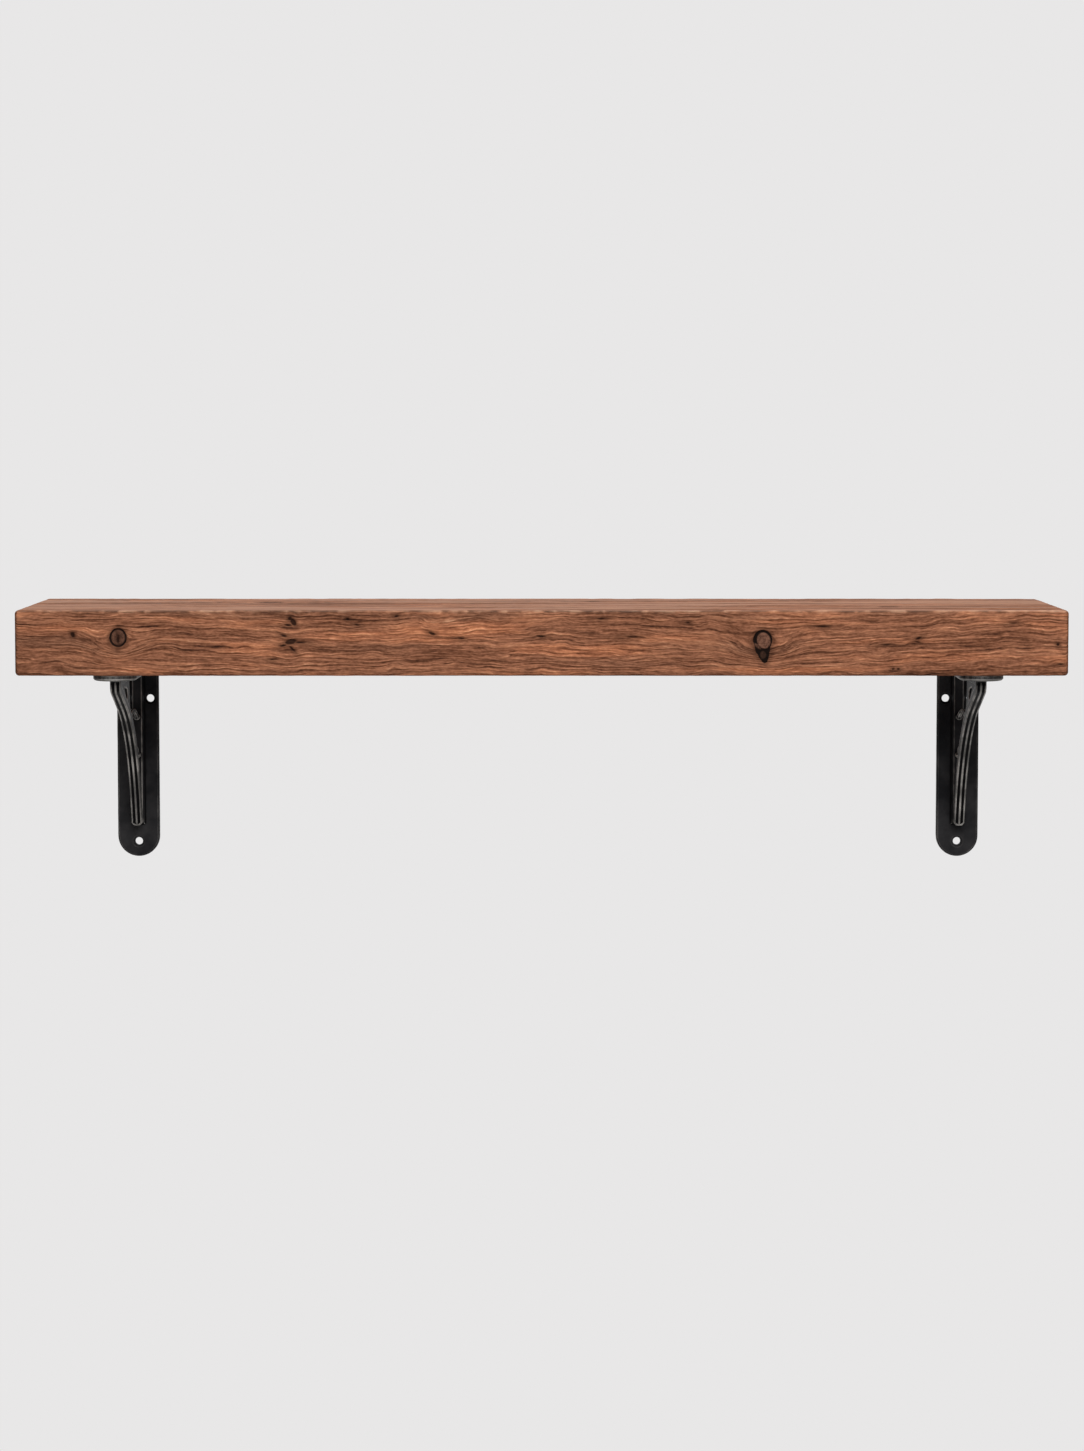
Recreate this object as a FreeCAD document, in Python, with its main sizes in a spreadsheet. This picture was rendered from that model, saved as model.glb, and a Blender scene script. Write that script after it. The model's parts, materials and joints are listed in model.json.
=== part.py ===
# Bracket wall shelf: one thick timber board on two cast brackets, held by wood screws.
# Millimetres. +X runs along the board, +Z is up, the wall is the plane Y = 0 and the room lies towards -Y.
# The origin is the middle of the board's back face.
import FreeCAD, Part
import Sketcher
import enum
import math
import operator
import os

# Driving dimensions: name, value, what it measures.
DIMENSIONS = (
    ("board_length", 800, "board, end to end"),
    ("board_depth", 150, "board, wall to front face"),
    ("board_thickness", 50, "board, underside to top"),
    ("board_edge_radius", 3, "eased edges of the board"),
    ("left_inset", 73.7, "left end of the board to the middle of the left bracket"),
    ("right_inset", 63.7, "right end of the board to the middle of the right bracket"),
    ("plate_width", 33.8, "both legs of a bracket"),
    ("plate_thickness", 4.6, "both legs of a bracket"),
    ("plate_rim_bevel", 1.2, "bevelled rim of both legs"),
    ("wall_leg", 159, "board's underside to the rounded lower end of the wall leg"),
    ("arm_setback", 2.5, "front of the board to the rounded tip of the arm"),
    ("rib_base_width", 10.5, "ribs along both legs, where they meet the plate"),
    ("rib_crest_width", 7.5, "ribs along both legs, at their crest"),
    ("rib_height", 4.5, "ribs along both legs, above the plate"),
    ("brace_width", 8.6, "brace, across its fluted face"),
    ("brace_depth", 6.5, "brace, fluted face to back"),
    ("brace_corner_bevel", 0.9, "bevelled corners of the brace's fluted face"),
    ("neck_setback", 15.5, "tip of the arm to the front of the neck"),
    ("neck_drop", 9, "arm's top to the bend below the neck"),
    ("neck_bend_radius", 8, "bend below the neck, on the fluted face"),
    ("brace_slope", 24.5, "upper run of the brace below the level, in degrees"),
    ("brace_bend_radius", 135, "long bend of the brace, on the fluted face"),
    ("foot_slope", 73, "lower run of the brace below the level, in degrees"),
    ("foot_reach", 16.3, "wall to the fluted face at the brace's foot"),
    ("foot_drop", 132.5, "arm's top to the brace's foot"),
    ("flute_offset", 1.85, "middle of the brace to the middle of each flute"),
    ("flute_radius", 1.25, "flutes, half of their width"),
    ("flute_start", 1.8, "arm's underside to the top of the flutes"),
    ("flute_stop", 1.5, "lower end of the flutes above the brace's foot"),
    ("web_thickness", 6.4, "pierced web between the arm and the brace"),
    ("web_top_reach", 76, "wall to the rear edge of the web, at the arm"),
    ("web_foot_reach", 54, "wall to the rear edge of the web, at the brace"),
    ("web_hollow", 7, "rear edge of the web, depth of its hollow curve"),
    ("drop_hole_reach", 89.5, "wall to the middle of the teardrop's round end"),
    ("drop_hole_drop", 19.6, "arm's top to the middle of the teardrop's round end"),
    ("drop_hole_radius", 4.5, "round end of the teardrop"),
    ("drop_hole_length", 17, "teardrop, middle of the round end to its point"),
    ("upper_root_drop", 47.3, "arm's top to the root of the upper tendril, inside the brace"),
    ("upper_tip_drop", 45, "arm's top to the tip of the upper tendril"),
    ("upper_bow_radius", 45, "bow of the upper tendril"),
    ("lower_root_drop", 72.7, "arm's top to the root of the lower tendril, inside the brace"),
    ("lower_tip_drop", 75.8, "arm's top to the tip of the lower tendril"),
    ("lower_bow_radius", 18.3, "bow of the lower tendril"),
    ("tendril_tip_reach", 11, "wall to the tips of both tendrils, on the crest of the rib"),
    ("tendril_radius", 2, "both tendrils"),
    ("tendril_bead_radius", 3, "bead at the tip of both tendrils"),
    ("hole_diameter", 6, "screw holes of the brackets"),
    ("countersink_diameter", 9.4, "screw holes of the brackets, at the surface"),
    ("hole_offset", 10, "middle of a leg to the holes of the pair near its corner"),
    ("upper_hole_drop", 30.5, "arm's top to the upper pair of wall holes"),
    ("lower_hole_rise", 12.3, "lower end of the wall leg to the lower wall hole"),
    ("rear_hole_reach", 31, "wall to the rear pair of arm holes"),
    ("front_hole_setback", 8, "tip of the arm to its front hole"),
    ("screw_length", 34, "wood screws, head to tip"),
    ("screw_diameter", 5, "wood screws, over the thread"),
    ("screw_head_diameter", 9.2, "wood screws, countersunk head"),
    ("pilot_clearance", 0.1, "screw to the wall of its hole in the board"),
)

# Sections of the swept shapes that are nearly round.
FLUTE_SIDES = 6
TENDRIL_SIDES = 6
# Latitudes of the flat-sided beads' corners, in degrees.
BEAD_LATITUDES = (-65, -22, 22, 65)
# Angles in degrees.
COUNTERSINK_ANGLE = 90
HALF_TURN = 180
FULL_TURN = 360


class Spot(enum.IntEnum):
    """The named points of a curve, as constraints number them."""

    START = 1
    END = 2
    CENTRE = 3


class Side(enum.IntEnum):
    """The side of the direction of travel on which an arc's centre lies."""

    LEFT = 1
    RIGHT = -1


class Axis(enum.IntEnum):
    """The axes across a leg's face, by their place in a point."""

    OUT = 1
    UP = 2


# The root point of a sketch: the start of its first axis.
ROOT = (-1, Spot.START)


class Size:
    """A dimension: its value now, and the expression that ties a feature to the sheet."""

    def __init__(self, value, text=None):
        self.value = value
        self.text = str(value) if text is None else text

    def __add__(self, other):
        return combined(operator.add, "+", self, other)

    def __sub__(self, other):
        return combined(operator.sub, "-", self, other)

    def __mul__(self, other):
        return combined(operator.mul, "*", self, other)

    def __truediv__(self, other):
        return combined(operator.truediv, "/", self, other)

    def __neg__(self):
        return Size(-self.value, f"(-{self.text})")

    def cosine(self):
        return Size(math.cos(math.radians(self.value)), f"cos({self.text} * 1 deg)")

    def sine(self):
        return Size(math.sin(math.radians(self.value)), f"sin({self.text} * 1 deg)")

    def root(self):
        return Size(math.sqrt(self.value), f"sqrt({self.text})")


def combined(operation, sign, left, right):
    """Joins a size with another size or a plain number, in value and in expression."""
    if not isinstance(right, Size):
        right = Size(right)
    return Size(operation(left.value, right.value), f"({left.text} {sign} {right.text})")


LEVEL = Size(0)


def fill_sheet(doc):
    """Writes the driving dimensions to the sheet and returns them by name."""
    sheet = doc.addObject("Spreadsheet::Sheet", "dimensions")
    sizes = {}
    for row, (name, value, meaning) in enumerate(DIMENSIONS, start=1):
        sheet.set(f"A{row}", meaning)
        sheet.set(f"B{row}", str(value))
        sheet.setAlias(f"B{row}", name)
        sizes[name] = Size(value, f"dimensions.{name}")
    doc.recompute()
    return sizes


def origin_feature(body, role):
    return next(item for item in body.Origin.OriginFeatures if item.Role == role)


def new_sketch(body, name, role, lift=None):
    """Adds a sketch on one of the body's origin planes, lifted along the plane's normal."""
    sketch = body.newObject("Sketcher::SketchObject", name)
    sketch.AttachmentSupport = [(origin_feature(body, role), "")]
    sketch.MapMode = "FlatFace"
    if lift is not None:
        sketch.setExpression("AttachmentOffset.Base.z", lift.text)
    return sketch


def section_across(body, name, spine):
    """Adds a sketch square to a spine, at the spine's start."""
    body.Document.recompute()
    sketch = body.newObject("Sketcher::SketchObject", name)
    sketch.AttachmentSupport = [(spine, "Edge1")]
    sketch.MapMode = "NormalToEdge"
    return sketch


def tie(sketch, size, kind, *places):
    """Adds a constraint whose value follows the sheet."""
    value = math.radians(size.value) if kind == "Angle" else size.value
    index = sketch.addConstraint(Sketcher.Constraint(kind, *places, value))
    text = f"{size.text} * 1 deg" if kind == "Angle" else size.text
    sketch.setExpression(f"Constraints[{index}]", text)


def pin(sketch, point, across, up):
    """Ties a point of the sketch to its distances from the sketch's root."""
    tie(sketch, across, "DistanceX", *ROOT, *point)
    tie(sketch, up, "DistanceY", *ROOT, *point)


def join(sketch, first, last, smoothly=False):
    """Joins the ends of two curves, and lets one run on into the other where asked."""
    kind = "Tangent" if smoothly else "Coincident"
    sketch.addConstraint(Sketcher.Constraint(kind, *first, *last))


def flat(across, up):
    return FreeCAD.Vector(across, up, 0)


def add_line(sketch, first, last):
    return sketch.addGeometry(Part.LineSegment(first, last), False)


def add_arc(sketch, centre, first, last):
    """Adds an arc that runs counter-clockwise from one point to another."""
    radius = (first - centre).Length
    angles = [math.atan2(point.y - centre.y, point.x - centre.x) for point in (first, last)]
    circle = Part.Circle(centre, FreeCAD.Vector(0, 0, 1), radius)
    return sketch.addGeometry(Part.ArcOfCircle(circle, *angles), False)


def add_circle(sketch, across, up, radius):
    circle = Part.Circle(flat(across.value, up.value), FreeCAD.Vector(0, 0, 1), radius.value)
    index = sketch.addGeometry(circle, False)
    pin(sketch, (index, Spot.CENTRE), across, up)
    tie(sketch, radius, "Radius", index)


def add_polygon(sketch, across, up, radius, sides):
    """Draws a regular polygon about a point, with flat sides above and below."""
    corners = []
    for number in range(sides):
        turn = (number + 0.5) * 2 * math.pi / sides + math.pi / 2
        corners.append((across + radius * math.cos(turn), up + radius * math.sin(turn)))
    add_outline(sketch, corners)


def add_outline(sketch, corners, bends=None):
    """Draws a closed outline with every corner tied to the sheet.

    bends names the edges that are arcs, by the number of the corner they start from: each has its
    radius, and the side of the travel on which its centre lies. A half turn has no radius: its
    centre stays level with its ends.
    """
    bends = bends or {}
    points = [flat(across.value, up.value) for across, up in corners]
    entries = []
    for number, (point, after) in enumerate(zip(points, points[1:] + points[:1])):
        if number not in bends:
            entries.append(((add_line(sketch, point, after), Spot.START), Spot.END))
            continue
        radius, side = bends[number]
        chord = after - point
        half = chord.Length / 2
        rise = 0 if radius is None else math.sqrt(radius.value ** 2 - half ** 2)
        centre = (point + after) * 0.5 + flat(-chord.y, chord.x).normalize() * rise * side
        ends = (point, after) if side == Side.LEFT else (after, point)
        arc = add_arc(sketch, centre, *ends)
        entries.append(((arc, Spot.START), Spot.END) if side == Side.LEFT else ((arc, Spot.END), Spot.START))
        if radius is None:
            tie(sketch, corners[number][1], "DistanceY", *ROOT, arc, Spot.CENTRE)
        else:
            tie(sketch, radius, "Radius", arc)
    for number, ((curve, near), _) in enumerate(entries):
        (before, _), before_far = entries[number - 1]
        join(sketch, (before, before_far), (curve, near))
        pin(sketch, (curve, near), *corners[number])


def extrude(body, kind, name, sketch, length=None, backwards=False, both_ways=False):
    """Pads a sketch or cuts it as a pocket, through everything where no length is given."""
    feature = body.newObject(f"PartDesign::{kind}", name)
    feature.Profile = sketch
    feature.Reversed = backwards
    if both_ways:
        feature.SideType = "Symmetric"
    if length is None:
        feature.Type = "ThroughAll"
    else:
        feature.setExpression("Length", length.text)
    return feature


def sweep(body, kind, name, profile, spine):
    feature = body.newObject(f"PartDesign::{kind}", name)
    feature.Profile = profile
    feature.Spine = (spine, [])
    return feature


def ease(doc, body, kind, name, wanted, amount):
    """Rounds or bevels the edges of the body so far that pass the test."""
    doc.recompute()
    base = body.Tip
    edges = [f"Edge{number}" for number, edge in enumerate(base.Shape.Edges, start=1) if wanted(edge)]
    feature = body.newObject(f"PartDesign::{kind}", name)
    feature.Base = (base, edges)
    feature.setExpression("Radius" if kind == "Fillet" else "Size", amount.text)
    return feature


def drill(doc, body, name, sketch, size, backwards=False):
    """Drills countersunk holes through a plate at the circles of a sketch."""
    doc.recompute()
    hole = body.newObject("PartDesign::Hole", name)
    hole.Profile = sketch
    hole.Threaded = False
    hole.DepthType = "ThroughAll"
    hole.HoleCutType = "Countersink"
    hole.HoleCutCustomValues = True
    hole.HoleCutCountersinkAngle = COUNTERSINK_ANGLE
    hole.setExpression("Diameter", size["hole_diameter"].text)
    hole.setExpression("HoleCutDiameter", size["countersink_diameter"].text)
    hole.Reversed = backwards
    return hole


class BraceLine:
    """The fluted face of a brace seen from the side: neck, short bend, slope, long bend, foot.

    Distances from the wall are called reach, and distances below the arm's top are called drop.
    """

    def __init__(self, size):
        self.slope = size["brace_slope"]
        self.foot_slope = size["foot_slope"]
        self.neck_reach = size["board_depth"] - size["arm_setback"] - size["neck_setback"]
        self.neck_drop = size["neck_drop"]
        self.neck_radius = size["neck_bend_radius"]
        self.bend_radius = size["brace_bend_radius"]
        self.foot_reach = size["foot_reach"]
        self.foot_drop = size["foot_drop"]
        self.depth = size["brace_depth"]

        self.slope_top_reach = self.neck_reach - self.neck_radius * (-self.slope.sine() + 1)
        self.slope_top_drop = self.neck_drop + self.neck_radius * self.slope.cosine()
        self.bend_reach, self.bend_drop = self.bend_centre()

    def bend_centre(self):
        """Reach and drop of the long bend's centre, which lies one radius off both straight runs."""
        slope_across, slope_down = self.slope.sine(), self.slope.cosine()
        foot_across, foot_down = self.foot_slope.sine(), self.foot_slope.cosine()
        off_slope = self.bend_radius + self.slope_top_reach * slope_across + self.slope_top_drop * slope_down
        off_foot = self.bend_radius + self.foot_reach * foot_across + self.foot_drop * foot_down
        turn = slope_across * foot_down - slope_down * foot_across
        reach = (off_slope * foot_down - off_foot * slope_down) / turn
        drop = (off_foot * slope_across - off_slope * foot_across) / turn
        return reach, drop

    def middle_of_slope(self):
        """Both ends of the upper run, half way into the brace: at the neck and at the long bend."""
        half = self.depth / 2
        into_reach, into_drop = -(half * self.slope.sine()), -(half * self.slope.cosine())
        bend_out = self.bend_radius + half
        at_neck = (self.slope_top_reach + into_reach, self.slope_top_drop + into_drop)
        at_bend = (
            self.bend_reach - bend_out * self.slope.sine(),
            self.bend_drop - bend_out * self.slope.cosine(),
        )
        return at_neck, at_bend

    def bend_drop_at(self, reach):
        """Drop of the long bend at a reach, half way into the brace."""
        radius = self.bend_radius + self.depth / 2
        across = self.bend_reach - reach
        return self.bend_drop - (radius * radius - across * across).root()

    def bend_reach_at(self, drop):
        """Reach of the long bend at a drop, half way into the brace."""
        radius = self.bend_radius + self.depth / 2
        down = self.bend_drop - drop
        return self.bend_reach - (radius * radius - down * down).root()

    def draw(self, sketch, start_drop, foot_rise):
        """Draws the line on the YZ plane, from a height on the neck to one above the foot."""
        slope = math.radians(self.slope.value)
        steep = math.radians(self.foot_slope.value)
        neck = flat(-self.neck_reach.value, -self.neck_drop.value)
        short_centre = neck + flat(self.neck_radius.value, 0)
        slope_top = flat(-self.slope_top_reach.value, -self.slope_top_drop.value)
        foot_across = -(self.foot_reach + foot_rise * self.foot_slope.cosine() / self.foot_slope.sine())
        foot_up = foot_rise - self.foot_drop
        foot = flat(foot_across.value, foot_up.value)
        long_centre = flat(-self.bend_reach.value, -self.bend_drop.value)
        run_top = long_centre + flat(math.sin(steep), math.cos(steep)) * self.bend_radius.value
        slope_foot = long_centre + flat(math.sin(slope), math.cos(slope)) * self.bend_radius.value

        upright = add_line(sketch, flat(neck.x, -start_drop.value), neck)
        short_bend = add_arc(sketch, short_centre, neck, slope_top)
        ramp = add_line(sketch, slope_foot, slope_top)
        long_bend = add_arc(sketch, long_centre, run_top, slope_foot)
        run = add_line(sketch, foot, run_top)

        pin(sketch, (upright, Spot.START), -self.neck_reach, -start_drop)
        pin(sketch, (upright, Spot.END), -self.neck_reach, -self.neck_drop)
        pin(sketch, (run, Spot.START), foot_across, foot_up)
        tie(sketch, -self.foot_slope + HALF_TURN, "Angle", run)
        tie(sketch, -self.slope + HALF_TURN, "Angle", ramp)
        tie(sketch, self.bend_radius, "Radius", long_bend)
        tie(sketch, self.neck_radius, "Radius", short_bend)
        join(sketch, (run, Spot.END), (long_bend, Spot.START), smoothly=True)
        join(sketch, (long_bend, Spot.END), (ramp, Spot.START), smoothly=True)
        join(sketch, (ramp, Spot.END), (short_bend, Spot.END), smoothly=True)
        join(sketch, (short_bend, Spot.START), (upright, Spot.END), smoothly=True)


def add_leg(body, name, role, size, length, backwards):
    """One flat leg of a bracket: square at the corner of the legs, half round at its far end."""
    half = size["plate_width"] / 2
    shoulder = half - length
    sketch = new_sketch(body, f"{name}_outline", role)
    corners = [(half, LEVEL), (-half, LEVEL), (-half, shoulder), (half, shoulder)]
    add_outline(sketch, corners, {2: (None, Side.LEFT)})
    return extrude(body, "Pad", name, sketch, size["plate_thickness"], backwards)


def add_rib(body, name, role, size, length, backwards):
    """A tapered rib along the middle of a leg, rooted half way into the plate."""
    base = size["rib_base_width"] / 2
    crest = size["rib_crest_width"] / 2
    root = -size["plate_thickness"] / 2
    face = -size["plate_thickness"]
    top = face - size["rib_height"]
    sketch = new_sketch(body, f"{name}_section", role)
    corners = [(base, root), (-base, root), (-base, face), (-crest, top), (crest, top), (base, face)]
    add_outline(sketch, corners)
    return extrude(body, "Pad", name, sketch, length, backwards)


def add_web(body, size, line):
    """The web between the arm and the brace, with its hollow rear edge, pierced by a teardrop."""
    root = size["plate_thickness"] / 2
    (neck_reach, neck_drop), (bend_reach, bend_drop) = line.middle_of_slope()
    top_reach, foot_reach = size["web_top_reach"], size["web_foot_reach"]
    foot_drop = line.bend_drop_at(foot_reach)
    hollow = size["web_hollow"]
    across, down = top_reach - foot_reach, foot_drop - root
    edge_radius = ((across * across + down * down) / 4 + hollow * hollow) / (hollow * 2)
    sketch = new_sketch(body, "web_outline", "YZ_Plane")
    corners = [
        (-foot_reach, -foot_drop),
        (-top_reach, -root),
        (-neck_reach, -root),
        (-neck_reach, -neck_drop),
        (-bend_reach, -bend_drop),
    ]
    add_outline(sketch, corners, {0: (edge_radius, Side.RIGHT)})
    extrude(body, "Pad", "web", sketch, size["web_thickness"], both_ways=True)

    sketch = new_sketch(body, "teardrop_outline", "YZ_Plane")
    slope = line.slope
    reach, drop = size["drop_hole_reach"], size["drop_hole_drop"]
    radius, length = size["drop_hole_radius"], size["drop_hole_length"]
    tip_across = -(reach + length * slope.cosine())
    tip_up = length * slope.sine() - drop
    centre = flat(-reach.value, -drop.value)
    tip = flat(tip_across.value, tip_up.value)
    towards = (tip - centre).normalize()
    aside = flat(-towards.y, towards.x)
    along = radius.value ** 2 / length.value
    apart = math.sqrt(radius.value ** 2 - along ** 2)
    first = centre + towards * along + aside * apart
    last = centre + towards * along - aside * apart
    side = add_line(sketch, tip, first)
    round_end = add_arc(sketch, centre, first, last)
    other_side = add_line(sketch, last, tip)
    join(sketch, (other_side, Spot.END), (side, Spot.START))
    join(sketch, (side, Spot.END), (round_end, Spot.START), smoothly=True)
    join(sketch, (round_end, Spot.END), (other_side, Spot.START), smoothly=True)
    pin(sketch, (side, Spot.START), tip_across, tip_up)
    pin(sketch, (round_end, Spot.CENTRE), -reach, -drop)
    tie(sketch, radius, "Radius", round_end)
    extrude(body, "Pocket", "teardrop", sketch, both_ways=True)


def add_brace(body, size, line):
    """The brace: a bevelled bar swept along its line, cut level at the foot and fluted twice down its face."""
    plate = size["plate_thickness"]
    half = size["brace_width"] / 2
    bevel = size["brace_corner_bevel"]
    front = -line.neck_reach
    back = front + size["brace_depth"]
    spine = new_sketch(body, "brace_line", "YZ_Plane")
    line.draw(spine, plate / 2, -size["brace_depth"] / 2)
    section = new_sketch(body, "brace_section", "XY_Plane", -plate / 2)
    corners = [
        (half, back),
        (-half, back),
        (-half, front + bevel),
        (-half + bevel, front),
        (half - bevel, front),
        (half, front + bevel),
    ]
    add_outline(section, corners)
    sweep(body, "AdditivePipe", "brace", section, spine)

    below = size["foot_drop"] + size["brace_depth"] * 2
    clear = size["foot_reach"] + size["brace_depth"]
    sketch = new_sketch(body, "foot_trim_outline", "YZ_Plane")
    corners = [
        (-plate, -size["foot_drop"]),
        (-clear, -size["foot_drop"]),
        (-clear, -below),
        (-plate, -below),
    ]
    add_outline(sketch, corners)
    extrude(body, "Pocket", "foot_trim", sketch, size["brace_width"] * 2, both_ways=True)

    top = plate + size["flute_start"]
    spine = new_sketch(body, "flute_line", "YZ_Plane")
    line.draw(spine, top, size["flute_stop"])
    for name, across in (("left_flute", -size["flute_offset"]), ("right_flute", size["flute_offset"])):
        section = new_sketch(body, f"{name}_section", "XY_Plane", -top)
        add_polygon(section, across, front, size["flute_radius"], FLUTE_SIDES)
        sweep(body, "SubtractivePipe", name, section, spine)


def add_tendril(body, name, size, line, root_drop, tip_drop, radius):
    """A thin tendril that bows from inside the brace over to the wall rib and ends there in a bead."""
    root_across, root_up = -line.bend_reach_at(root_drop), -root_drop
    tip_across, tip_up = -size["tendril_tip_reach"], -tip_drop
    root = flat(root_across.value, root_up.value)
    tip = flat(tip_across.value, tip_up.value)
    chord = tip - root
    fall = math.sqrt(radius.value ** 2 - (chord.Length / 2) ** 2)
    centre = (root + tip) * 0.5 + flat(chord.y, -chord.x).normalize() * fall
    spine = new_sketch(body, f"{name}_line", "YZ_Plane")
    bow = add_arc(spine, centre, tip, root)
    pin(spine, (bow, Spot.START), tip_across, tip_up)
    pin(spine, (bow, Spot.END), root_across, root_up)
    tie(spine, radius, "Radius", bow)
    section = section_across(body, f"{name}_section", spine)
    add_polygon(section, LEVEL, LEVEL, size["tendril_radius"], TENDRIL_SIDES)
    sweep(body, "AdditivePipe", name, section, spine)

    bead = size["tendril_bead_radius"]
    slices = []
    for number, latitude in enumerate(BEAD_LATITUDES):
        turn = math.radians(latitude)
        slices.append(new_sketch(body, f"{name}_bead_slice_{number}", "YZ_Plane", bead * math.sin(turn)))
        add_polygon(slices[-1], tip_across, tip_up, bead * math.cos(turn), TENDRIL_SIDES)
    loft = body.newObject("PartDesign::AdditiveLoft", f"{name}_bead")
    loft.Profile = slices[0]
    loft.Sections = slices[1:]
    loft.Ruled = True


def rim_edges(size, face_axis):
    """A test for the rim of a leg: the outer edges that lie in its inner face."""
    half = size["plate_width"].value / 2
    face = -size["plate_thickness"].value
    near = 1e-4

    def on_rim(edge):
        middle = edge.valueAt((edge.FirstParameter + edge.LastParameter) / 2)
        in_face = all(abs(vertex.Point[face_axis] - face) < near for vertex in edge.Vertexes)
        rounded = isinstance(edge.Curve, Part.Circle) and abs(edge.Curve.Radius - half) < near
        straight = isinstance(edge.Curve, Part.Line) and abs(abs(middle.x) - half) < near
        return in_face and abs(middle[face_axis] - face) < near and (rounded or straight)

    return on_rim


def arm_hole_spots(size):
    """Places of an arm's holes: across from the middle of the bracket, and out from the wall."""
    rear = size["rear_hole_reach"]
    front = size["board_depth"] - size["arm_setback"] - size["front_hole_setback"]
    return [(-size["hole_offset"], rear), (size["hole_offset"], rear), (LEVEL, front)]


def add_bracket(doc, label, size, across):
    """One casting. Its own zero is the wall, the middle of its plates and the top of its arm."""
    body = doc.addObject("PartDesign::Body", label)
    body.Label = label
    body.setExpression("Placement.Base.x", across.text)
    body.setExpression("Placement.Base.z", (-size["board_thickness"] / 2).text)
    line = BraceLine(size)
    arm_length = size["board_depth"] - size["arm_setback"]
    add_leg(body, "wall_leg", "XZ_Plane", size, size["wall_leg"], False)
    add_leg(body, "arm", "XY_Plane", size, arm_length, True)
    ease(doc, body, "Chamfer", "wall_rim", rim_edges(size, Axis.OUT), size["plate_rim_bevel"])
    ease(doc, body, "Chamfer", "arm_rim", rim_edges(size, Axis.UP), size["plate_rim_bevel"])
    add_rib(body, "wall_rib", "XY_Plane", size, size["foot_drop"], True)
    add_rib(body, "arm_rib", "XZ_Plane", size, line.neck_reach - size["brace_depth"], False)
    add_web(body, size, line)
    add_brace(body, size, line)
    for place in ("upper", "lower"):
        course = [size[f"{place}_{part}"] for part in ("root_drop", "tip_drop", "bow_radius")]
        add_tendril(body, f"{place}_tendril", size, line, *course)

    offset = size["hole_offset"]
    radius = size["hole_diameter"] / 2
    lower_up = size["lower_hole_rise"] - size["wall_leg"]
    sketch = new_sketch(body, "wall_hole_centres", "XZ_Plane", size["plate_thickness"])
    for spot in ((-offset, -size["upper_hole_drop"]), (offset, -size["upper_hole_drop"]), (LEVEL, lower_up)):
        add_circle(sketch, *spot, radius)
    drill(doc, body, "wall_holes", sketch, size)
    sketch = new_sketch(body, "arm_hole_centres", "XY_Plane", -size["plate_thickness"])
    for spot, reach in arm_hole_spots(size):
        add_circle(sketch, spot, -reach, radius)
    drill(doc, body, "arm_holes", sketch, size, True)
    return body


def screw_sink(size):
    """How far a head lies below the surface, where its cone meets the countersink's."""
    return (size["countersink_diameter"] - size["screw_head_diameter"]) / 2


def add_screws(doc, label, size, across):
    """The wood screws of one bracket. Their own zero is the wall, the middle of the bracket and the heads."""
    body = doc.addObject("PartDesign::Body", label)
    body.Label = label
    head_up = screw_sink(size) - size["plate_thickness"] - size["board_thickness"] / 2
    body.setExpression("Placement.Base.x", across.text)
    body.setExpression("Placement.Base.z", head_up.text)
    head = size["screw_head_diameter"] / 2
    shank = size["screw_diameter"] / 2
    length = size["screw_length"]
    corners = [
        (LEVEL, LEVEL),
        (head, LEVEL),
        (shank, head - shank),
        (shank, length),
        (LEVEL, length),
    ]
    for number, (spot, reach) in enumerate(arm_hole_spots(size), start=1):
        sketch = new_sketch(body, f"screw_section_{number}", "XZ_Plane", reach)
        sketch.setExpression("AttachmentOffset.Base.x", spot.text)
        add_outline(sketch, corners)
        turned = body.newObject("PartDesign::Revolution", f"screw_{number}")
        turned.Profile = sketch
        turned.ReferenceAxis = (sketch, ["V_Axis"])
        turned.Angle = FULL_TURN
    return body


def add_board(doc, label, size, bracket_places):
    """The board, with eased edges and a pilot hole for every screw."""
    body = doc.addObject("PartDesign::Body", label)
    body.Label = label
    half = size["board_length"] / 2
    underside = -size["board_thickness"] / 2
    sketch = new_sketch(body, "board_outline", "XY_Plane", underside)
    front = -size["board_depth"]
    add_outline(sketch, [(-half, front), (half, front), (half, LEVEL), (-half, LEVEL)])
    extrude(body, "Pad", "board", sketch, size["board_thickness"])
    ease(doc, body, "Fillet", "eased_edges", lambda edge: True, size["board_edge_radius"])

    sketch = new_sketch(body, "pilot_hole_centres", "XY_Plane", underside)
    radius = size["screw_diameter"] / 2 + size["pilot_clearance"]
    for across in bracket_places:
        for spot, reach in arm_hole_spots(size):
            add_circle(sketch, across + spot, -reach, radius)
    depth = size["screw_length"] + screw_sink(size) - size["plate_thickness"] + size["pilot_clearance"]
    extrude(body, "Pocket", "pilot_holes", sketch, depth, True)
    return body


def check_build(doc, bodies):
    """Stops the build if a feature failed, cut nothing, or left a broken shape."""
    doc.recompute()
    for item in doc.Objects:
        if "Invalid" in item.State or "Error" in item.State:
            raise RuntimeError(f"{item.Name} failed: {item.State}")
    for body in bodies:
        if body.Shape.isNull() or not body.Shape.isValid():
            raise RuntimeError(f"{body.Label} has no valid shape")
        for item in body.Group:
            cuts = item.TypeId.endswith(("Pocket", "SubtractivePipe", "Hole"))
            if cuts and item.Shape.Volume >= item.BaseFeature.Shape.Volume:
                raise RuntimeError(f"{body.Label}: {item.Name} cuts nothing")


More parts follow.
